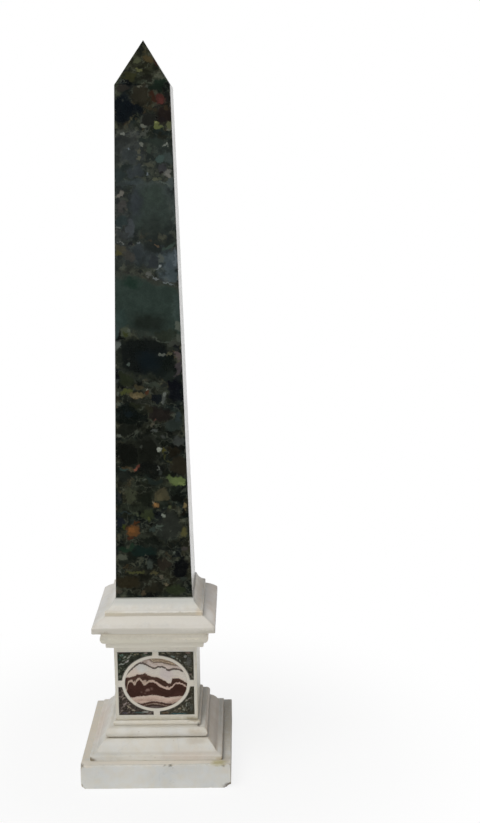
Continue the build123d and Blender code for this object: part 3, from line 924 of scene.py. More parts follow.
def marble_material(name, aged, clast, patina=0.3, matt=0.36, stains_and_painted_light=(), tone=None, flank=None, strip=None):
    """White marble of one piece.

    tone is its clean colour, and flank multiplies the colour of its right-hand side
    where 255 leaves it as it is: above 255 it paints light on that side, below 255 it
    paints shade there. strip is a level band of another tone, which paints shade, and on
    the seat dirt as well: its foot, its head, its colour and its strength. The stains,
    and the patches of painted light and shade among them, are laid last.
    """
    material, tree, surface, place = new_material(name)
    given = {"Place": place, "Patina Share": patina, "Matt": matt, "Dirt Value": attribute(tree, "dirt"),
             "Edge Value": attribute(tree, "edge"), "Broken Value": attribute(tree, "broken")}
    if tone:
        given["Marble"] = linear(*tone)
    marble = use(tree, aged, given)
    shade = marble["Colour"]
    # Painted light and shade on the right-hand side: a flank factor over 255 lightens it, under 255 darkens
    # it.
    if flank:
        shade = tint(tree, ramp(tree, attribute(tree, "flank"), 0.3, 0.65), shade,
                     tint(tree, 1.0, shade, linear(*flank), "MULTIPLY"))
    # A level strip of painted shade, with dirt on the seat.
    if strip:
        shade = level_strip(tree, shade, place, *strip)
    if stains_and_painted_light:
        shade = lay_stains_and_painted_light(tree, clast, shade, place, stains_and_painted_light)
    finish_surface(tree, surface, shade, marble["Roughness"], marble["Height"], 0.09, 0.5)
    return material


def plinth_marble(aged, clast):
    """The plinth: cream along its arrises, painted light on its front ledge, soiled at one spot there,
    painted shade on its right ledge and side, and dark in its chips.
    """
    half, _, head = slab_box("plinth")
    stains_and_painted_light = (
        ((-half + 4, 0, head), (12, 140, 2.4), (216, 206, 188), 0.85),
        # Painted light on the front ledge.
        ((0, -half + 5.4, head + 0.8), (140, 6, 2.4), (227, 219, 205), 0.88),
        # Painted shade on the right ledge, most at its front end.
        ((half - 3, 12, head), (8, 90, 2.4), (186, 176, 156), 0.8),
        ((half - 3, -half + 10, head), (6, 12, 3), (180, 170, 152), 0.6),
        ((54, -half + 4.2, head + 0.4), (9, 6.5, 2.2), (180, 171, 124), 0.85),
        ((58, -half, head - 0.6), (2.4, 2.0, 1.8), (116, 110, 100), 0.95),
        ((half - 2, -half, 2.4), (5.4, 4, 4), (116, 110, 104), 0.85),
        ((-half + 1, -half + 2.2, head), (4, 5, 2.4), (126, 122, 114), 0.85),
        ((13.4, -half + 0.8, head + 0.3), (2.6, 2.4, 1.7), (112, 108, 94), 0.9),
        ((8.8, -half + 0.8, head + 0.2), (1.9, 2, 1.3), (140, 132, 116), 0.75),
        ((half - 9, -half, head - 3), (9, 1, 3.5), (206, 192, 172), 0.5),
        ((-half, -18, head), (1.6, 2.2, 1.6), (84, 76, 64), 0.9),
    )
    # A touch of painted shade on the right-hand side.
    return marble_material("plinth marble", aged, clast, patina=0.15, matt=0.4, tone=(206, 206, 202),
                           flank=(251, 247, 240), stains_and_painted_light=stains_and_painted_light)


def foot_marble(aged, clast):
    """The base, the torus and the step: soiled at the left end, darker at the right ends of the step and
    the torus, painted shade with dirt under the torus there, painted shade on the right-hand side, and dark
    in their chips.
    """
    base, base_foot, base_head = slab_box("base_moulding")
    torus = slab_box("torus_slab")[0]
    step, step_foot, step_head = slab_box("step_slab")
    stains_and_painted_light = (
        ((-base + 2, 8, 32), (11, 58, 14), (208, 188, 170), 0.5),
        ((30, -base, 27), (34, 9, 8), (206, 188, 172), 0.4),
        ((-base + 2, -base, base_foot + 2.2), (6, 4, 2.3), (118, 106, 84), 0.9),
        ((base - 1, -base, base_foot + 2), (5, 3, 3), (186, 168, 136), 0.6),
        ((step - 0.6, -step, step_foot + 2), (2.4, 2.4, 2.4), (70, 60, 46), 1.0),
        ((0, -step, step_head - 1), (50, 6, 3.4), (214, 206, 188), 0.55),
        ((34, -step, step_foot - 2.5), (9, 14, 4), (184, 172, 152), 0.6),
        # Painted shadow, and dirt, under the torus at its right end.
        ((35, -torus, base_head - 1), (11, 7, 3), (182, 172, 156), 0.6),
        ((34, -step, step_head + 0.5), (9, 8, 1.6), (168, 156, 134), 0.8),
        # Painted shade on the right-hand side of the base.
        ((base - 5, -base + 34, 28), (9, 28, 9), (186, 174, 160), 0.6),
    )
    # Painted shade on the right-hand side.
    return marble_material("foot marble", aged, clast, patina=0.22, flank=(239, 226, 212), stains_and_painted_light=stains_and_painted_light)


def die_marble(aged, clast):
    """The die: darker and warmer under the panel, most at its right end, painted light over the panel,
    under the cap, and painted light on its right-hand side.
    """
    half, foot, head = slab_box("die_block")
    stains_and_painted_light = (
        ((0, -half, foot + 1), (60, 2, 4.5), (180, 170, 146), 0.5),
        # Painted light over the panel, where the cap above shades the die.
        ((0, -half, head - 1.5), (60, 3, 4.6), (225, 220, 207), 0.85),
        ((31, -half, foot + 1), (9, 3, 4.2), (152, 142, 119), 0.85),
    )
    # Painted light on the right-hand side.
    return marble_material("die marble", aged, clast, patina=0.34, matt=0.22, tone=(207, 204, 194),
                           flank=(293, 291, 283), stains_and_painted_light=stains_and_painted_light)


def corona_marble(aged, clast, fascia):
    """The corona: a fascia darkened with painted shade, under a slope painted lighter near the seat and to
    the right and darker at its lower arris, with painted light on its right-hand side.
    """
    half, foot, head = slab_box("corona_slab")
    seat = slab_box("seat_slab")[0]
    stains_and_painted_light = (
        ((-half + 12, -half, foot + 1), (8, 3, 2.4), (150, 138, 118), 0.6),
        # Painted light on the slope near the seat, where the seat shades it, and towards the right.
        ((0, -seat - 2, head), (140, 12, 6), (225, 220, 210), 0.8),
        ((36, -half + 5, head - 5), (30, 12, 6), (222, 217, 208), 0.5),
        # Painted shade on the slope's lower arris.
        ((0, -half + 3, foot + 6.4), (140, 5, 2.4), (205, 199, 189), 0.35),
        # Painted light at the right end of the slope.
        ((half - 4, -half + 20, foot + 8.5), (5, 17, 4.5), (250, 245, 237), 0.8),
        # Painted shade along the foot of the fascia at its right end.
        ((46, -half, foot + 1.6), (12, 2, 3.8), (176, 170, 157), 0.6),
    )
    # Painted light on the right-hand side, and a strip of painted shade on the fascia.
    return marble_material("corona marble", aged, clast, patina=0.17, tone=(217, 214, 207),
                           flank=(283, 273, 267), stains_and_painted_light=stains_and_painted_light,
                           strip=(foot - 1, foot + fascia, (191, 186, 175), 0.9))


def seat_marble(aged, clast):
    """The seat: painted shadow with dirt on its fillet, its slope painted lighter low down and darker by
    the shaft, painted light on its right-hand side, and cream ends.
    """
    half, foot, head = slab_box("seat_slab")
    shaft = slab_box("shaft_core")[0]
    stains_and_painted_light = (
        # Painted light on the lower slope.
        ((0, -half + 3, foot + 5.2), (80, 6, 2.4), (226, 222, 213), 0.6),
        # Painted shade on the steep slope by the shaft.
        ((0, -shaft - 1, head), (120, 7, 6), (197, 197, 191), 0.9),
        ((-half + 7, -half, foot + 3), (14, 5, 4.5), (206, 196, 172), 0.45),
        ((half - 2, -half, foot + 4), (5, 6, 7), (204, 188, 162), 0.6),
    )
    # Painted light on the right-hand side, and a strip of painted shadow, with dirt, on the fillet.
    return marble_material("seat marble", aged, clast, patina=0.17, tone=(217, 214, 206),
                           flank=(263, 253, 240), stains_and_painted_light=stains_and_painted_light,
                           strip=(foot + 0.6, foot + 3.0, (188, 180, 164), 0.85))


def bed_marble(aged, clast):
    """The neck and the bed band: a tone raised as painted light against the corona's shade, paler still
    towards the corona, a painted highlight along the roll and painted shade under it, and painted light on
    the right-hand side.
    """
    neck, neck_foot, _ = slab_box("neck_slab")
    band, band_foot, band_head = slab_box("bed_band")
    stains_and_painted_light = (
        ((-20, -band, band_foot), (50, 30, 30), (210, 208, 190), 0.4),
        # The neck, with less of the painted light than the band.
        ((0, -neck, neck_foot + 3), (140, 14, 6.4), (215, 210, 197), 0.9),
        # Painted light at the head of the band, under the corona.
        ((0, -band, band_head), (140, 12, 7.5), (246, 240, 226), 0.85),
        # A painted highlight along the top of the roll, towards the right.
        ((31, -band, band_foot + 5.6), (17, 6, 1.4), (244, 238, 218), 0.5),
        # Painted shade under the roll, towards the right.
        ((32, -band, band_foot + 0.8), (18, 6, 1.6), (200, 194, 178), 0.6),
    )
    # The raised tone is painted light against the shade under the corona, and flank paints light on the
    # right-hand side.
    return marble_material("bed marble", aged, clast, patina=0.3, tone=(223, 217, 204),
                           flank=(290, 279, 274), stains_and_painted_light=stains_and_painted_light)


def ring_material(aged, band, bridge):
    """Marble of the oval ring, with a dark line of cement round its outside.

    The line is where (x / a)^2 + (z / b)^2 about the ring's middle nears 1, with a and b
    its half width and height. The bridges, and all within half a bridge of the
    middle lines, stay clean.
    """
    low, high = (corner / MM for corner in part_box("agate_oval"))
    reach_x, reach_z = (high[0] - low[0]) / 2 + band, (high[2] - low[2]) / 2 + band
    material, tree, surface, place = new_material("ring marble")
    marble = use(tree, aged, {"Place": place, "Patina Share": 0.36, "Matt": 0.3,
                              "Marble": linear(209, 204, 194)})
    local = aim(tree, "SUBTRACT", place, tuple((low + high) / 2))
    round_reach = span(tree, aim(tree, "MULTIPLY", local, (1 / reach_x, 0.0, 1 / reach_z)))
    ragged = calc(tree, "MULTIPLY_ADD", grain(tree, place, 1.5, detail=2), 0.012, round_reach)
    sides = split(tree, aim(tree, "ABSOLUTE", local))
    clear = ramp(tree, calc(tree, "MINIMUM", sides[0], sides[2]),
                 bridge / 2 - 0.6, bridge / 2 + 0.2, 0.0, 0.85)
    line = calc(tree, "MULTIPLY", ramp(tree, ragged, 0.986, 0.994), clear)
    shade = tint(tree, line, marble["Colour"], linear(62, 57, 47))
    finish_surface(tree, surface, shade, marble["Roughness"], marble["Height"], 0.06, 0.5)
    return material


# ------------------------ agate

# Lines across the agate, from the foot up, as (right of the middle, above the middle) in
# millimetres. Each runs past both ends of the oval, to half the span.
AGATE_SPAN = 60.0
AGATE_LINES = {
    "low arc": ((-30, -26), (-10.1, -21.3), (-6.3, -20.3), (-1.6, -19.8), (3.2, -20.5), (7, -21.5),
                (30, -27)),
    "arc": ((-30, -21), (-16.7, -18.4), (-12, -19.2), (-7.3, -18), (-2.5, -17.3), (3.2, -18),
            (7.9, -19.2), (13.6, -19.4), (16.4, -18.4), (30, -20)),
    "shadow": ((-30, -14), (-24.3, -13.1), (-18.6, -12.2), (-11, -11.5), (-2.5, -10.5),
               (3.2, -11.5), (9.8, -12.9), (15.5, -12.2), (23, -11.5), (30, -11)),
    "scallop": ((-30, -12), (-25.4, -5.5), (-24.4, -1.4), (-23.2, 1.8), (-21.3, 2.7), (-19.7, 1.2),
                (-18.3, -0.4), (-16.9, 2.3), (-14.6, 4.5), (-12.7, 3.1), (-11.2, 0.7), (-10, -0.6),
                (-7.9, 0.9), (-5.5, 2.3), (-3.2, 2.2), (0, 0.8), (1.9, -0.9), (5.3, -3.3), (8.1, -4.2),
                (10.5, -4.7), (12.8, -3.7), (15.2, -1.6), (16.6, 0), (19, 0.2), (21.9, -0.6),
                (24.2, -1.9), (30, -6)),
    "crest": ((-30, 4), (-26.4, 5.8), (-22.6, 5.9), (-19.8, 6.6), (-17.4, 7.2), (-16, 8.5),
              (-12.2, 8.7), (-9.8, 9.5), (-7.4, 8.4), (-5.1, 7), (-2.7, 6.2), (2.2, 5.3),
              (5.1, 3.7), (8.6, 1.7), (10.2, 0.4), (11.7, -0.2), (13.3, 1.4), (14, 4.6),
              (19, 4.6), (21.9, 3.3), (24.2, 1.8), (30, -2)),
    "zigzag": ((-30, 6), (-25.2, 8.8), (-21.6, 12.4), (-18.3, 15.4), (-16, 17.2), (-13.8, 18.4),
               (-11.6, 18.6), (-7.4, 16.9), (-4.6, 15.4), (-0.9, 13.8), (1.8, 15.1), (5.3, 15.2),
               (7.6, 14.4), (10.9, 11.9), (14.3, 12.9), (19, 12.8), (22.3, 11.6), (30, 10)),
    "tan": ((-30, 27), (-5.6, 22.4), (-3.2, 20.5), (-1, 19.3), (2.9, 19.4), (6.2, 19.1), (8.6, 18.2),
            (13.3, 17.1), (18.1, 16.4), (30, 13.5)),
}


class AgateLayers:
    """Masks over the agate, from listed lines.

    The height over each line is the place's height less the line's, in millimetres, and
    fine noise on the height gives the lines their teeth.
    """

    def __init__(self, tree, place, middle):
        self.tree = tree
        local = aim(tree, "SUBTRACT", place, tuple(middle))
        local = aim(tree, "ADD", local, wander(tree, place, 2.4, 1.6, 4.0))
        axes = split(tree, local)
        teeth = calc(tree, "MULTIPLY_ADD", grain(tree, place, 1.1, detail=2, rough=0.5), 2.6, -1.3)
        self.across = axes[0]
        self.level = calc(tree, "ADD", axes[2], teeth)
        self.flat = put(tree, "ShaderNodeCombineXYZ", {0: self.across, 2: self.level}).outputs[0]
        self.over = {name: self.height(line) for name, line in AGATE_LINES.items()}

    def height(self, line):
        """Height over a line, which a curve gives as a share of the span."""
        share = calc(self.tree, "MULTIPLY_ADD", self.across, 1 / AGATE_SPAN, 0.5)
        node = put(self.tree, "ShaderNodeFloatCurve", {"Value": share})
        curve = node.mapping.curves[0]
        for index, knot in enumerate(line):
            where = [(value + AGATE_SPAN / 2) / AGATE_SPAN for value in knot]
            if index < 2:
                curve.points[index].location = where
            else:
                curve.points.new(*where)
        for point in curve.points:
            point.handle_type = "AUTO_CLAMPED"
        node.mapping.update()
        rise = calc(self.tree, "MULTIPLY_ADD", node.outputs[0], AGATE_SPAN, -AGATE_SPAN / 2)
        return calc(self.tree, "SUBTRACT", self.level, rise)

    def above(self, name, blur=0.25):
        """All that lies above a line."""
        return ramp(self.tree, self.over[name], -blur, blur)

    def beside(self, name, thickness, blur=0.3, strength=1.0, rise=0.0):
        """A thin band on either side of a line, or of the same line raised."""
        away = calc(self.tree, "ABSOLUTE", calc(self.tree, "SUBTRACT", self.over[name], rise))
        return ramp(self.tree, away, thickness / 2 - blur / 2, thickness / 2 + blur, strength, 0.0)

    def stripes(self, name, size, low, high):
        """Layers that follow a line: noise on the height over it, drawn out across."""
        drawn = calc(self.tree, "MULTIPLY", self.across, 0.06)
        layer = put(self.tree, "ShaderNodeCombineXYZ", {0: drawn, 2: self.over[name]}).outputs[0]
        return ramp(self.tree, grain(self.tree, layer, size, detail=3, rough=0.6), 0.36, 0.64, low, high)

    def spot(self, x, z, inner, outer, strength):
        """A soft round patch about a place."""
        return ramp(self.tree, span(self.tree, self.flat, (x, 0.0, z)), inner, outer, strength, 0.0)

    def paint(self, mask, under, over):
        """Lay one tone over another. A tone is a colour so far, or display values."""
        tones = (linear(*tone) if isinstance(tone, tuple) else tone for tone in (under, over))
        return tint(self.tree, mask, *tones)


def agate_foot(agate):
    """A grey lens under two dark arcs, then the pink and tan band."""
    tree, over = agate.tree, agate.over
    shade = agate.paint(agate.stripes("low arc", 1.3, 0.1, 0.9), (60, 47, 41), (112, 101, 96))
    lens = agate.paint(agate.stripes("low arc", 1.0, 0.0, 0.9), (152, 130, 116), (104, 84, 73))
    shade = agate.paint(agate.above("low arc"), shade, lens)
    shade = agate.paint(agate.beside("low arc", 1.5), shade, (58, 44, 37))
    band = agate.paint(agate.stripes("shadow", 1.1, 0.0, 0.9), (196, 172, 157), (152, 128, 115))
    band = agate.paint(ramp(tree, over["shadow"], -3.6, -0.8, 0.0, 0.75), band, (205, 184, 169))
    ends = ramp(tree, calc(tree, "ABSOLUTE", agate.across), 12, 24, 0.0, 0.45)
    band = agate.paint(ends, band, (172, 152, 138))
    shade = agate.paint(agate.above("arc"), shade, band)
    return agate.paint(agate.beside("arc", 1.7), shade, (72, 53, 45))


def agate_maroon(agate, shade):
    """The maroon body with pale blurs, and the pale scalloped line through it."""
    tree = agate.tree
    maroon = agate.paint(agate.stripes("scallop", 2.0, 0.0, 0.8), (57, 35, 28), (70, 45, 38))
    shade = agate.paint(agate.above("shadow", 0.45), shade, maroon)
    for x, z, size, strength in ((-7, -5.8, 2.3, 0.42), (-8.4, -6.4, 1.7, 0.3), (-3.9, -4.8, 1.8, 0.22),
                                 (-12.8, -8, 1.3, 0.16), (-9.5, -9, 1.4, 0.16)):
        shade = agate.paint(agate.spot(x, z, 0.1 * size, size, strength), shade, (168, 138, 128))
    upper = agate.paint(agate.stripes("crest", 1.5, 0, 0.8), (58, 38, 31), (84, 62, 53))
    shade = agate.paint(agate.above("scallop"), shade, upper)
    pale = agate.paint(ramp(tree, agate.across, -8, 2), (178, 158, 142), (190, 166, 152))
    half_width = ramp(tree, agate.across, 9, 16, 0.95, 0.5)
    beyond = calc(tree, "SUBTRACT", calc(tree, "ABSOLUTE", agate.over["scallop"]), half_width)
    pale_line = ramp(tree, beyond, -0.25, 0.45, 1.0, 0.0)
    for x, z, size in ((-10, 1.4, 2.6), (-18.4, 1.3, 1.7), (3, -1.6, 1.5), (9.4, -3.6, 1.5)):
        pale_line = calc(tree, "MAXIMUM", pale_line, agate.spot(x, z, 0.45 * size, size, 0.85))
    return agate.paint(pale_line, shade, pale)


def agate_white(agate, shade):
    """The white body: bluish in the middle, pink beside the crest and cream at the left."""
    white = agate.paint(agate.stripes("zigzag", 1.3, 0.0, 0.8), (207, 200, 189), (193, 184, 174))
    for x, z, inner, outer, strength, tone in (
            (-12.5, 13.5, 1, 8, 0.6, (196, 198, 196)), (-19, 10, 2, 7, 0.55, (206, 188, 174)),
            (-25.5, 10, 1, 5.5, 0.6, (210, 196, 172)), (9, 8.6, 2, 9, 0.55, (186, 172, 174))):
        white = agate.paint(agate.spot(x, z, inner, outer, strength), white, tone)
    beside_crest = ramp(agate.tree, agate.over["crest"], 0.2, 2.2, 0.5, 0.0)
    white = agate.paint(beside_crest, white, (200, 176, 158))
    return agate.paint(agate.above("crest", 0.35), shade, white)


def agate_head(agate, shade):
    """The dark zigzag line, and the tan head with its brown lines."""
    head = agate.paint(agate.stripes("tan", 1.1, 0, 0.9), (206, 194, 184), (168, 152, 143))
    head = agate.paint(agate.spot(-9, 19.8, 1, 3.4, 0.6), head, (134, 118, 108))
    shade = agate.paint(agate.above("zigzag"), shade, head)
    shade = agate.paint(agate.beside("zigzag", 1.5, 0.4, 0.9), shade, (68, 57, 50))
    top = agate.paint(agate.stripes("tan", 0.8, 0.0, 0.9), (178, 158, 134), (138, 120, 102))
    top = agate.paint(ramp(agate.tree, agate.across, -4, 4, 0.6, 0.0), top, (178, 168, 146))
    shade = agate.paint(agate.above("tan"), shade, top)
    for rise, thickness, strength, tone in (
            (0, 1.1, 0.85, (100, 84, 72)), (2.2, 0.8, 0.75, (110, 92, 76)), (4, 0.8, 0.7, (106, 88, 72)),
            (-1.5, 0.6, 0.35, (150, 126, 108)), (-2.6, 0.5, 0.25, (140, 120, 110))):
        line = agate.beside("tan", thickness, 0.35, strength, rise)
        shade = agate.paint(line, shade, tone)
    return shade


def agate_material(middle):
    """Banded agate: a colour for each layer, parted by the listed lines, the foot first."""
    material, tree, surface, place = new_material("banded agate")
    agate = AgateLayers(tree, place, middle)
    shade = agate_foot(agate)
    for part in (agate_maroon, agate_white, agate_head):
        shade = part(agate, shade)
    fine = grain(tree, place, 0.9, detail=3, rough=0.6)
    shade = shift(tree, shade, fine, 0.3, 0.7, 0.88, 1.04)
    gloss = calc(tree, "MULTIPLY_ADD", fine, 0.1, 0.16)
    height = calc(tree, "MULTIPLY_ADD", grain(tree, place, 8, detail=3), 0.8,
                  calc(tree, "MULTIPLY", fine, 0.15))
    finish_surface(tree, surface, shade, gloss, height, 0.04, 0.35)
    return material


# ------------------------ serpentine

# Streaks and patches that can be told apart in the spandrels, as rows of stones.
SPANDREL_UPPER_LEFT = (
    (-31, 111, 7, 1.1, (66, 46, 42)), (-28.8, 108.2, 2.4, 1.2, (92, 118, 106), 8),
    (-26, 106.6, 1.6, 0.8, (146, 152, 140), 30), (-22.2, 106.8, 3, 0.8, (150, 150, 138), 42),
    (-29, 100, 3.6, 0.8, (138, 142, 134), 10), (-24.4, 102.6, 2.6, 1.1, (164, 160, 156), 34),
    (-30.8, 104.4, 1.6, 1.3, (58, 76, 68)), (-27.6, 103.4, 2, 0.6, (108, 114, 102), 30),
    (-17.6, 108.8, 1.4, 0.8, (118, 108, 84), 20), (-14.6, 109.6, 1.2, 0.7, (122, 112, 88), -20),
    (-12, 108.4, 1.0, 0.7, (104, 96, 76)), (-8, 110.2, 2.0, 0.9, (150, 136, 128)),
    (-20.4, 110.2, 1.6, 0.6, (98, 90, 72), 30), (-31, 94, 1.1, 1.8, (98, 100, 84)),
    (-29.4, 96.6, 0.9, 1.2, (88, 92, 78), 30), (-30.4, 88.6, 1.2, 1.2, (100, 100, 88)),
)
SPANDREL_UPPER_RIGHT = (
    (6.5, 109.6, 1.9, 0.6, (122, 118, 98), -10), (11.4, 110.2, 2.2, 0.6, (118, 112, 94), -8),
    (14.8, 106.6, 2.2, 1.1, (108, 120, 114), -10), (19.6, 109.4, 2.4, 0.6, (112, 106, 88), -14),
    (25.6, 106.6, 1.6, 1.6, (136, 138, 131)), (28, 110, 3, 1.1, (116, 98, 90)),
    (28.6, 102, 2.8, 5.6, (82, 82, 77)), (18.6, 104.6, 1.4, 0.8, (122, 124, 110), -30),
    (21, 102.6, 1.2, 0.9, (118, 122, 112), -40), (25.2, 101, 0.9, 0.9, (120, 124, 118)),
    (23, 99, 1.1, 0.7, (110, 108, 96), -50), (29.6, 90.4, 1.3, 1.2, (112, 98, 92)),
    (27.2, 93.4, 1.0, 1.0, (96, 92, 82)), (22.6, 107.4, 1.5, 0.7, (34, 33, 26), -25),
)
SPANDREL_LOWER_LEFT = (
    (-27.8, 69.2, 1.9, 0.9, (140, 128, 116), 30), (-27.2, 63.6, 3.0, 0.9, (150, 136, 130), 38),
    (-29.6, 60.6, 1.6, 0.7, (120, 108, 102), 40), (-30, 57.4, 1.8, 0.8, (118, 106, 100), 30),
    (-23.6, 60.6, 2.6, 0.8, (146, 136, 116), -38), (-20, 57.8, 2.2, 1.0, (152, 142, 124), -20),
    (-14.6, 55.6, 6, 0.9, (66, 84, 80)), (-27.4, 55.4, 3, 1.1, (70, 66, 74)),
    (-9.6, 56.2, 3.4, 0.9, (150, 150, 142)), (-31, 66, 1.0, 3.4, (50, 46, 36)),
    (-26.4, 58.6, 1.7, 1.0, (36, 30, 28)), (-24.4, 64.6, 1.0, 0.6, (126, 114, 104), 40),
)
SPANDREL_LOWER_RIGHT = (
    (19, 54.4, 9, 1.0, (56, 84, 86)), (25.8, 62.6, 0.7, 2.4, (118, 122, 112), -8),
    (27.8, 63, 0.7, 2.6, (104, 106, 96), -4), (22.4, 61, 0.8, 1.5, (122, 118, 102), 20),
    (23.8, 58, 0.8, 1.8, (128, 128, 114), 8), (28.4, 68.4, 1.7, 0.8, (146, 138, 132), 20),
    (26, 66.2, 1.3, 0.7, (138, 132, 122), 40), (20, 59.2, 1.8, 0.7, (146, 134, 112), 28),
    (7.4, 55.4, 4, 1.2, (98, 80, 62)), (30, 59.6, 2.0, 4, (70, 72, 64)), (29.6, 73.6, 1.0, 3, (54, 46, 34)),
    (15.6, 57.6, 1.5, 0.6, (112, 102, 88), 15),
)


def serpentine_material(name, clast, ground, dark, vein, turn, rows):
    """Serpentine of one spandrel: streaks of bent noise drawn out along one direction.

    turn gives the direction of the streaks in degrees from level, and rows the streaks
    and patches that stand out.
    """
    material, tree, surface, place = new_material(name)
    bent = aim(tree, "ADD", place, wander(tree, place, 5, 5.0, 3.0))
    turned = put(tree, "ShaderNodeMapping", {"Vector": bent, "Rotation": (0.0, np.radians(turn), 0.0)},
                 vector_type="POINT").outputs[0]
    drawn = aim(tree, "MULTIPLY", turned, (0.45, 1.0, 1.0))
    streak = grain(tree, drawn, 1.9, detail=4, rough=0.62)
    patch = grain(tree, bent, 5, detail=4, rough=0.6)
    fine = grain(tree, place, 0.8, detail=3, rough=0.7)
    shade = tint(tree, ramp(tree, patch, 0.38, 0.6), linear(*dark), linear(*ground))
    shade = tint(tree, ramp(tree, streak, 0.54, 0.64, 0.0, 0.85), shade, linear(*vein))
    thread = calc(tree, "ABSOLUTE", calc(tree, "SUBTRACT", streak, 0.45))
    shade = tint(tree, ramp(tree, thread, 0.0, 0.016, 0.5, 0.0), shade, linear(*vein))
    edges = aim(tree, "ADD", place, wander(tree, place, 2.4, 2.2, 3.0))
    shade = lay_stones(tree, clast, shade, rows, edges, wander(tree, place, 0.9, 0.8), 1.0, 0.5, 0.9)
    fleck = grain(tree, drawn, 0.8, detail=2, rough=0.6)
    shade = tint(tree, ramp(tree, fleck, 0.58, 0.68, 0.0, 0.42), shade, linear(*vein))
    shade = tint(tree, ramp(tree, fleck, 0.38, 0.46, 0.7, 0.0), shade, linear(*dark))
    shade = shift(tree, shade, fine, 0.35, 0.7, 0.78, 1.22)
    gloss = calc(tree, "MULTIPLY_ADD", patch, 0.2, 0.14)
    height = calc(tree, "MULTIPLY_ADD", patch, 0.6, calc(tree, "MULTIPLY", fine, 0.2))
    finish_surface(tree, surface, shade, gloss, height, 0.05, 0.3)
    return material


# Each spandrel's node, the name of its stone, ground, dark and vein colours, the turn of its
# streaks, and its rows.
SPANDRELS = (
    ("spandrel_upper_left", "streaked serpentine", (50, 51, 41), (33, 33, 26), (94, 102, 88), 24,
     SPANDREL_UPPER_LEFT),
    ("spandrel_upper_right", "flecked serpentine", (64, 62, 51), (38, 37, 29), (106, 105, 93), -34,
     SPANDREL_UPPER_RIGHT),
    ("spandrel_lower_left", "veined serpentine", (60, 52, 46), (38, 33, 28), (124, 112, 104), 38,
     SPANDREL_LOWER_LEFT),
    ("spandrel_lower_right", "fine serpentine", (61, 58, 47), (40, 38, 29), (100, 98, 84), 52,
     SPANDREL_LOWER_RIGHT),
)


# ------------------------ pieces of the foot

# How far the hidden bed of a slab runs in, in millimetres.
TUCK = 1.5          # behind the edge of the slab next to it
FOOT_TUCK = 2.0     # from its own lower arris
HEAD_TUCK = 3.0     # from its own upper arris, under a slab that overhangs


def make_plinth(marble, wear):
    """A plain square slab with chips at its front corners and on its front arris."""
    half, foot, head = slab_box("plinth")
    base = slab_box("base_moulding")[0]
    outline = [(half - FOOT_TUCK, foot), (half, foot), (half, head), (base - TUCK, head)]
    bites = (
        (half + 7, -half - 5, -6.2, 14.5), (-half - 7, -half - 5, -5.0, 12.6),
        (-half - 3.6, -half - 2.6, head + 3.2, 7.8), (half + 3, -half - 5, head + 4, 7.9),
        (14, -half - 2.6, head + 2.2, 4.2), (9.2, -half - 2.2, head + 1.9, 3.4),
        (58, -half - 1.6, head + 1.2, 2.9),
    )
    moulded_slab("plinth", outline, [(base, head, 0.1), (half, foot, 0.3)], marble, wear, bites)


def make_base(marble, size, wear):
    """A fillet with a sloping top, then an ogee: a short hollow below a long swelling."""
    half, foot, head = slab_box("base_moulding")
    torus = slab_box("torus_slab")[0]
    torus_edge = torus - size.torus_swell
    ledge = (half - size.base_weathering_run, foot + size.base_fillet + size.base_weathering_rise)
    cove = (ledge[0] - size.base_cove_run, ledge[1] + size.base_cove_rise)
    outline = np.concatenate([
        [(half - FOOT_TUCK, foot), (half, foot), (half, foot + size.base_fillet)],
        arc(ledge, cove, -size.base_cove_depth),
        arc(cove, (torus + size.ledge, head), size.base_ovolo_swell)[1:],
        [(torus_edge - TUCK, head)],
    ])
    bites = ((-half - 3, -half - 3, foot + 1.2, 5.3), (half + 5, -half - 5, foot - 2, 8.5))
    crevices = [(half, foot, 0.22), (torus_edge, head, 1.0)]
    moulded_slab("base_moulding", outline, crevices, marble, wear, bites)


def make_torus(marble, size, wear):
    """A slab whose edge is one arc."""
    half, foot, head = slab_box("torus_slab")
    edge = half - size.torus_swell
    step_edge = slab_box("step_slab")[0] - size.step_swell
    outline = np.concatenate([
        [(edge - TUCK, foot)], arc((edge, foot), (edge, head), size.torus_swell),
        [(step_edge - TUCK, head)]])
    moulded_slab("torus_slab", outline, [(edge, foot, 1.0), (step_edge, head, 0.12)], marble, wear)


def make_step(marble, size, wear):
    """A thin slab whose edge is one shallow arc."""
    half, foot, head = slab_box("step_slab")
    edge = half - size.step_swell
    die = slab_box("die_block")[0]
    outline = np.concatenate([
        [(edge - TUCK, foot)], arc((edge, foot), (edge, head), size.step_swell), [(die - TUCK, head)]])
    moulded_slab("step_slab", outline, [(edge, foot, 0.15), (die, head, 0.12)], marble, wear)


# ------------------------ pieces of the die and the cap

DIE_LINES = 75      # mesh lines across each side of the die
DIE_SPACING = 0.9   # mesh lines up it, in millimetres


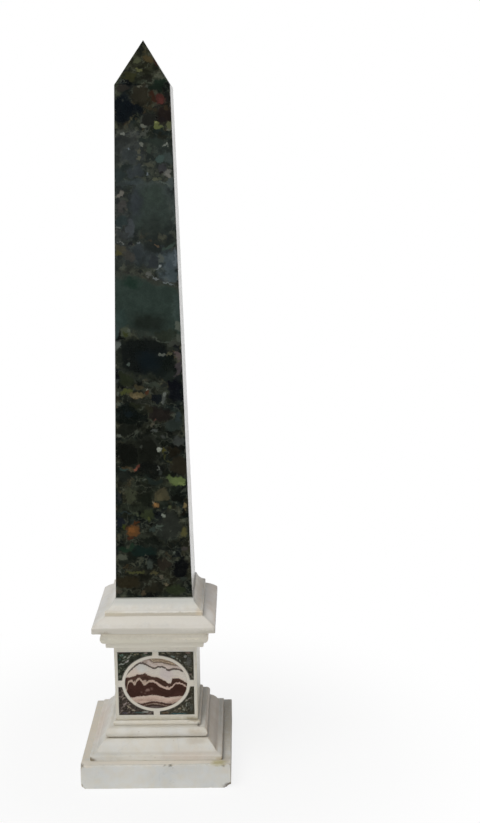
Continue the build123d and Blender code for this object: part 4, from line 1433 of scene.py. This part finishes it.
def make_die(marble, size, wear):
    """A plain block with a sunk panel in its front.

    Mesh lines stand just outside, on and just inside the pocket's edge, so that its wall
    is upright.
    """
    half, foot, head = slab_box("die_block")
    panel_half = size.panel_width / 2
    panel_foot = foot + size.panel_foot
    panel_head = panel_foot + size.panel_height
    guard = np.array([-0.5, -0.02, 0.02])
    sides = (panel_half - guard) / (half - wear.corner)
    stations = np.unique(np.concatenate([np.linspace(-1, 1, DIE_LINES), sides, -sides]))
    stations = stations[np.concatenate([[True], np.diff(stations) > 1e-4])]
    levels = np.unique(np.concatenate([
        np.arange(foot + 1, head - 0.5, DIE_SPACING), [foot, head],
        panel_foot + guard, panel_head - guard]))
    profile = np.stack([np.full_like(levels, half), levels], 1)
    normals = np.tile([1.0, 0.0], (len(levels), 1))
    piece = sweep("die_block_worn", profile, normals, np.zeros(len(levels)),
                  np.full((len(levels), 2), half), stations, wear.corner, wear,
                  [(half, foot, 0.35), (half, head, 0.35)],
                  pocket=(panel_half, panel_foot, panel_head, size.facing))
    dress(piece, marble, "white_marble", "die_block")


def make_neck(marble, size, wear):
    """A thin slab with a quarter circle on its lower arris."""
    half, foot, head = slab_box("neck_slab")
    die = slab_box("die_block")[0]
    curve = size.neck_round
    angle = np.linspace(0, np.pi / 2, 10)
    rounding = np.stack([half - curve + curve * np.sin(angle), foot + curve - curve * np.cos(angle)], 1)
    outline = np.concatenate([[(die - TUCK, foot)], rounding, [(half, head), (half - HEAD_TUCK, head)]])
    moulded_slab("neck_slab", outline, [(die, foot, 0.3), (half, head, 0.25)], marble, wear)


def make_bed_band(marble, size, wear):
    """A half-round roll under a plain strip."""
    half, foot, head = slab_box("bed_band")
    neck = slab_box("neck_slab")[0]
    edge = half - size.roll_swell
    roll_top = foot + size.roll_height
    outline = np.concatenate([
        [(neck - TUCK, foot)], arc((edge, foot), (edge, roll_top), size.roll_swell),
        [(edge, head), (edge - HEAD_TUCK, head)]])
    crevices = [(neck, foot, 0.3), (edge, roll_top, 0.2), (edge, head, 0.35)]
    moulded_slab("bed_band", outline, crevices, marble, wear)


def make_corona(marble, size, wear):
    """An upright fascia, a rounded arris and a slightly swelling slope.

    The arris is a quadratic curve from a little below the corner to a little up the
    slope, drawn towards the corner between them.
    """
    half, foot, head = slab_box("corona_slab")
    seat = slab_box("seat_slab")[0]
    band_edge = slab_box("bed_band")[0] - size.roll_swell
    brow = np.array([half, foot + size.fascia_height])
    top = np.array([seat + size.ledge, head])
    slope = (top - brow) / np.linalg.norm(top - brow)
    lower, upper = brow - (0, size.corona_arris), brow + slope * size.corona_arris
    turn = np.linspace(0, 1, 9)[:, None]
    arris = (1 - turn) ** 2 * lower + 2 * turn * (1 - turn) * brow + turn ** 2 * upper
    outline = np.concatenate([
        [(band_edge - TUCK, foot), (half, foot)], arris,
        arc(upper, top, size.corona_swell)[1:], [(seat - TUCK, head)]])
    crevices = [(band_edge, foot, 0.35), (seat, head, 0.12)]
    moulded_slab("corona_slab", outline, crevices, marble, wear, corner=size.corona_corner)


def make_seat(marble, size, wear):
    """A fillet, a quarter circle and a hollow that rises to the foot of the shaft."""
    half, foot, head = slab_box("seat_slab")
    shaft = slab_box("shaft_core")[0]
    shoulder = size.seat_shoulder
    angle = np.linspace(0, np.pi / 2, 8)
    curl = np.stack([half - shoulder + shoulder * np.cos(angle),
                     foot + size.seat_fillet + shoulder * np.sin(angle)], 1)
    top = (shaft + size.seat_border, head)
    outline = np.concatenate([
        [(half - FOOT_TUCK, foot), (half, foot)], curl,
        arc(curl[-1], top, -size.seat_hollow)[1:], [(shaft - TUCK, head)]])
    moulded_slab("seat_slab", outline, [(half, foot, 0.25), (shaft, head, 0.1)], marble, wear)


# ------------------------ the shaft and its point

CORE_SPACING = 2.2      # mesh lines round a core, in millimetres
FACING_SPACING = 1.4    # mesh lines round a facing
FACING_CORNER = 0.3     # rounding of a facing's long arrises
BLUNTNESS = 0.15        # how far the point is cut short


def tapered_blocks(core_name, slab_name, foot_half, head_half, foot, head, facing, step, wear,
                   marble, breccia, corner):
    """A tapering block in two pieces: the core, and the facing on its front.

    At height t the block's half width w runs evenly from foot to head. The facing fills
    y from -w to -w plus its depth, and the core fills the rest, so the core's middle is
    at half that depth and its half size there is w less the same.
    """
    tall = head - foot
    depth = facing * np.hypot(tall, foot_half - head_half) / tall
    levels = np.linspace(foot, head, int(tall / step) + 1)
    if head_half == 0:
        levels[-1] -= BLUNTNESS
    width = np.interp(levels, [foot, head], [foot_half, head_half])
    profile = np.stack([width, levels], 1)
    tilt = np.arctan2(foot_half - head_half, tall)
    normals = np.tile([np.cos(tilt), np.sin(tilt)], (len(levels), 1))
    flat = np.zeros(len(levels))

    inner = width - depth / 2
    keep = inner > 0.3
    half = np.stack([width, inner], 1)[keep]
    core = sweep(f"{core_name}_worn", profile[keep], normals[keep], flat[keep], half,
                 even_stations(2 * foot_half, CORE_SPACING), np.minimum(corner, 0.5 * half.min(axis=1)),
                 wear, [(foot_half, foot, 0.5)], centre_y=np.full(keep.sum(), depth / 2), arris_reach=0.6)
    dress(core, marble, "white_marble", core_name)

    back = np.minimum(-width + depth, width)
    half = np.stack([width, (back + width) / 2], 1)
    slab = sweep(f"{slab_name}_worn", profile, normals, flat, half,
                 even_stations(2 * foot_half, FACING_SPACING),
                 np.minimum(FACING_CORNER, 0.5 * half.min(axis=1)),
                 wear, centre_y=(back - width) / 2, arris_reach=0.75)
    dress(slab, breccia, "green_breccia", slab_name)


# ------------------------ stage

# Name, place, target and size of each lamp, in metres.
LAMPS = (
    ("key", (-0.78, -1.02, 2.10), (0, 0, 0.2), 1.6),
    ("front", (-0.35, -1.90, 0.14), (0, 0, 0.16), 0.9),
)


def place_camera(scene, stage):
    """Stand the camera at its place, turned by yaw, pitch and roll."""
    yaw, pitch, roll = (np.radians(angle) for angle in (stage.yaw, stage.pitch, stage.roll))
    ahead = Vector((np.sin(yaw) * np.cos(pitch), np.cos(yaw) * np.cos(pitch), np.sin(pitch)))
    level = Vector((np.cos(yaw), -np.sin(yaw), 0.0))
    upright = level.cross(ahead)
    right = level * np.cos(roll) + upright * np.sin(roll)
    up = upright * np.cos(roll) - level * np.sin(roll)
    data = bpy.data.cameras.new("camera")
    data.sensor_fit = "VERTICAL"
    data.sensor_height = 36.0
    data.lens = stage.lens
    data.clip_start = 0.01
    camera = bpy.data.objects.new("camera", data)
    turn = Matrix((right, up, -ahead)).transposed()
    camera.matrix_world = Matrix.Translation(stage.eye) @ turn.to_4x4()
    scene.collection.objects.link(camera)
    scene.camera = camera
    scene.view_settings.view_transform = "Standard"


def place_lamps(scene, stage):
    """Two soft lamps that light the stones and don't show in their polish."""
    for name, place, target, size in LAMPS:
        lamp = bpy.data.lights.new(f"{name} lamp", "AREA")
        lamp.energy = getattr(stage, name)
        lamp.size = size
        holder = bpy.data.objects.new(f"{name} lamp", lamp)
        look = (Vector(target) - Vector(place)).to_track_quat("-Z", "Y")
        holder.matrix_world = Matrix.Translation(place) @ look.to_matrix().to_4x4()
        holder.visible_glossy = False
        scene.collection.objects.link(holder)


def light_evenly(scene, stage):
    """Even light on the stones, dim in their polish, and a white background."""
    world = bpy.data.worlds.new("even light")
    scene.world = world
    world.use_nodes = True
    tree = world.node_tree
    tree.nodes.clear()
    ray = tree.nodes.new("ShaderNodeLightPath").outputs
    glow = tint(tree, ray["Is Glossy Ray"], (stage.fill,) * 3, (0.06,) * 3)
    glow = tint(tree, ray["Is Camera Ray"], glow, (1.0,) * 3)
    back = put(tree, "ShaderNodeBackground", {"Color": glow, "Strength": 1.0})
    end = tree.nodes.new("ShaderNodeOutputWorld")
    tree.links.new(back.outputs[0], end.inputs[0])


def mirrored_ray(tree):
    """Whether a ray comes off a polished surface or through glass."""
    ray = tree.nodes.new("ShaderNodeLightPath").outputs
    return calc(tree, "MAXIMUM", ray["Is Glossy Ray"], ray["Is Transmission Ray"])


def glowing(tree, strength):
    """A white glow."""
    return put(tree, "ShaderNodeEmission", {"Color": (1, 1, 1, 1), "Strength": strength}).outputs[0]


def stage_sheet(name, points, material):
    """A flat sheet of the stage, from its corners."""
    mesh = bpy.data.meshes.new(name)
    mesh.from_pydata(points.tolist(), [], [list(range(len(points)))])
    mesh.materials.append(material)
    piece = bpy.data.objects.new(name, mesh)
    bpy.context.scene.collection.objects.link(piece)
    return piece


def lay_floor(stage):
    """A round floor that takes the shadow near the object and is plain white far off."""
    material, tree, surface = bare_material("floor")
    here = tree.nodes.new("ShaderNodeTexCoord").outputs["Object"]
    reach, behind = span(tree, here), split(tree, here)[1]
    ray = tree.nodes.new("ShaderNodeLightPath").outputs
    seen = calc(tree, "MULTIPLY", ramp(tree, reach, 0.08, 0.34, 0.84, 1.0), ray["Is Camera Ray"])
    mirrored = calc(tree, "MULTIPLY", ramp(tree, reach, 0.09, 0.2), mirrored_ray(tree))
    matt = put(tree, "ShaderNodeBsdfPrincipled", {
        "Base Color": (*stage.floor, 1.0), "Roughness": 0.9, "Specular IOR Level": 0.0}).outputs[0]
    near = put(tree, "ShaderNodeMixShader", {0: seen, 1: matt, 2: glowing(tree, 1.0)}).outputs[0]
    far = glowing(tree, ramp(tree, behind, -0.1, 0.4, 0.05, 1.0))
    both = put(tree, "ShaderNodeMixShader", {0: mirrored, 1: near, 2: far}).outputs[0]
    tree.links.new(both, surface)
    angle = np.linspace(0, 2 * np.pi, 97)[:-1]
    radius = 6.0
    rim = np.stack([radius * np.cos(angle), radius * np.sin(angle), np.zeros_like(angle)], 1)
    stage_sheet("floor", rim, material)


def stand_card():
    """A white card behind, seen only in reflections, as a studio backdrop is."""
    material, tree, surface = bare_material("backdrop card")
    tree.links.new(glowing(tree, mirrored_ray(tree)), surface)
    corners = 3.0 * np.array([(-1, 1, 0), (1, 1, 0), (1, 1, 1), (-1, 1, 1)])
    card = stage_sheet("backdrop card", corners, material)
    card.visible_camera = False
    card.visible_diffuse = False
    card.visible_shadow = False


# ------------------------ operators

def stone_groups(scene):
    """The marble and the clast node groups, built once."""
    groups = bpy.data.node_groups
    return (groups.get(MARBLE_GROUP) or marble_group(scene.obelisk_stone),
            groups.get(CLAST_GROUP) or clast_group())


def millimetres(group):
    """A settings group's lengths in millimetres and its whole numbers as they are, by name."""
    values = {key: getattr(group, key) for key in type(group).__annotations__}
    return SimpleNamespace(**{key: value / MM if isinstance(value, float) else value
                              for key, value in values.items()})


class OBJECT_OT_obelisk_stage(Operator):
    """Set the camera, the lamps, the floor and the even light"""
    bl_idname = "object.obelisk_stage"
    bl_label = "Stage"

    def execute(self, context):
        scene = context.scene
        place_camera(scene, scene.obelisk_stage)
        place_lamps(scene, scene.obelisk_stage)
        light_evenly(scene, scene.obelisk_stage)
        lay_floor(scene.obelisk_stage)
        stand_card()
        return {"FINISHED"}


class OBJECT_OT_obelisk_foot(Operator):
    """Build the plinth, the base moulding, the torus and the step"""
    bl_idname = "object.obelisk_foot"
    bl_label = "Foot"

    def execute(self, context):
        groups = stone_groups(context.scene)
        size, wear = millimetres(context.scene.obelisk_mouldings), millimetres(context.scene.obelisk_wear)
        make_plinth(plinth_marble(*groups), wear)
        marble = foot_marble(*groups)
        make_base(marble, size, wear)
        make_torus(marble, size, wear)
        make_step(marble, size, wear)
        return {"FINISHED"}


class OBJECT_OT_obelisk_die(Operator):
    """Build the die with the pocket for its inlaid panel"""
    bl_idname = "object.obelisk_die"
    bl_label = "Die"

    def execute(self, context):
        scene = context.scene
        size, wear = millimetres(scene.obelisk_mouldings), millimetres(scene.obelisk_wear)
        make_die(die_marble(*stone_groups(scene)), size, wear)
        return {"FINISHED"}


class OBJECT_OT_obelisk_inlay(Operator):
    """Give the ring, the agate and the spandrels their stones"""
    bl_idname = "object.obelisk_inlay"
    bl_label = "Inlay"

    def execute(self, context):
        aged, clast = stone_groups(context.scene)
        size = millimetres(context.scene.obelisk_mouldings)
        low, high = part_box("agate_oval")
        finishes = {
            "oval_ring": ring_material(aged, size.ring_band, size.ring_bridge),
            "agate_oval": agate_material((low + high) / 2 / MM),
        }
        for node, name, ground, dark, vein, turn, rows in SPANDRELS:
            finishes[node] = serpentine_material(name, clast, ground, dark, vein, turn, rows)
        for node, material in finishes.items():
            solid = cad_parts[node]
            solid.data.materials.clear()
            solid.data.materials.append(material)
        return {"FINISHED"}


class OBJECT_OT_obelisk_cap(Operator):
    """Build the neck, the bed band, the corona and the seat of the shaft"""
    bl_idname = "object.obelisk_cap"
    bl_label = "Cap"

    def execute(self, context):
        groups = stone_groups(context.scene)
        size, wear = millimetres(context.scene.obelisk_mouldings), millimetres(context.scene.obelisk_wear)
        bed = bed_marble(*groups)
        make_neck(bed, size, wear)
        make_bed_band(bed, size, wear)
        make_corona(corona_marble(*groups, size.fascia_height), size, wear)
        make_seat(seat_marble(*groups), size, wear)
        return {"FINISHED"}


class OBJECT_OT_obelisk_shaft(Operator):
    """Build the shaft and the pyramidion, each a marble core with a breccia facing"""
    bl_idname = "object.obelisk_shaft"
    bl_label = "Shaft"

    def execute(self, context):
        scene = context.scene
        aged, clast = stone_groups(scene)
        facing, wear = millimetres(scene.obelisk_mouldings).facing, millimetres(scene.obelisk_wear)
        marble = marble_material("shaft marble", aged, clast, patina=0.15, matt=0.2, tone=(205, 202, 195))
        breccia = breccia_material(scene.obelisk_stone, clast)
        foot_half, foot, head = slab_box("shaft_front_slab")
        head_half, tip_foot, tip = slab_box("pyramidion_front_slab")
        tapered_blocks("shaft_core", "shaft_front_slab", foot_half, head_half, foot, head,
                       facing, 1.6, wear, marble, breccia, corner=0.7)
        tapered_blocks("pyramidion_core", "pyramidion_front_slab", head_half, 0.0, tip_foot, tip,
                       facing, 1.0, wear, marble, breccia, corner=0.5)
        return {"FINISHED"}


class VIEW3D_PT_obelisk(Panel):
    """Lists the steps and their settings"""
    bl_label = "Obelisk"
    bl_idname = "VIEW3D_PT_obelisk"
    bl_space_type = "VIEW_3D"
    bl_region_type = "UI"
    bl_category = "Obelisk"

    def draw(self, context):
        for step in STEPS:
            self.layout.operator(step.bl_idname)
        for name, group in SETTINGS.items():
            box = self.layout.box()
            for key in group.__annotations__:
                box.prop(getattr(context.scene, name), key)


STEPS = (OBJECT_OT_obelisk_stage, OBJECT_OT_obelisk_foot, OBJECT_OT_obelisk_die,
         OBJECT_OT_obelisk_inlay, OBJECT_OT_obelisk_cap, OBJECT_OT_obelisk_shaft)
CLASSES = (*SETTINGS.values(), *STEPS, VIEW3D_PT_obelisk)


def register():
    for cls in CLASSES:
        bpy.utils.register_class(cls)
    for name, group in SETTINGS.items():
        setattr(bpy.types.Scene, name, PointerProperty(type=group))


def unregister():
    for name in SETTINGS:
        delattr(bpy.types.Scene, name)
    for cls in reversed(CLASSES):
        bpy.utils.unregister_class(cls)


def main():
    """Build the obelisk step by step."""
    register()
    for step in STEPS:
        area, name = step.bl_idname.split(".")
        if getattr(getattr(bpy.ops, area), name)() != {"FINISHED"}:
            raise RuntimeError(f"{step.bl_label} didn't finish")


if __name__ == "__main__":
    main()
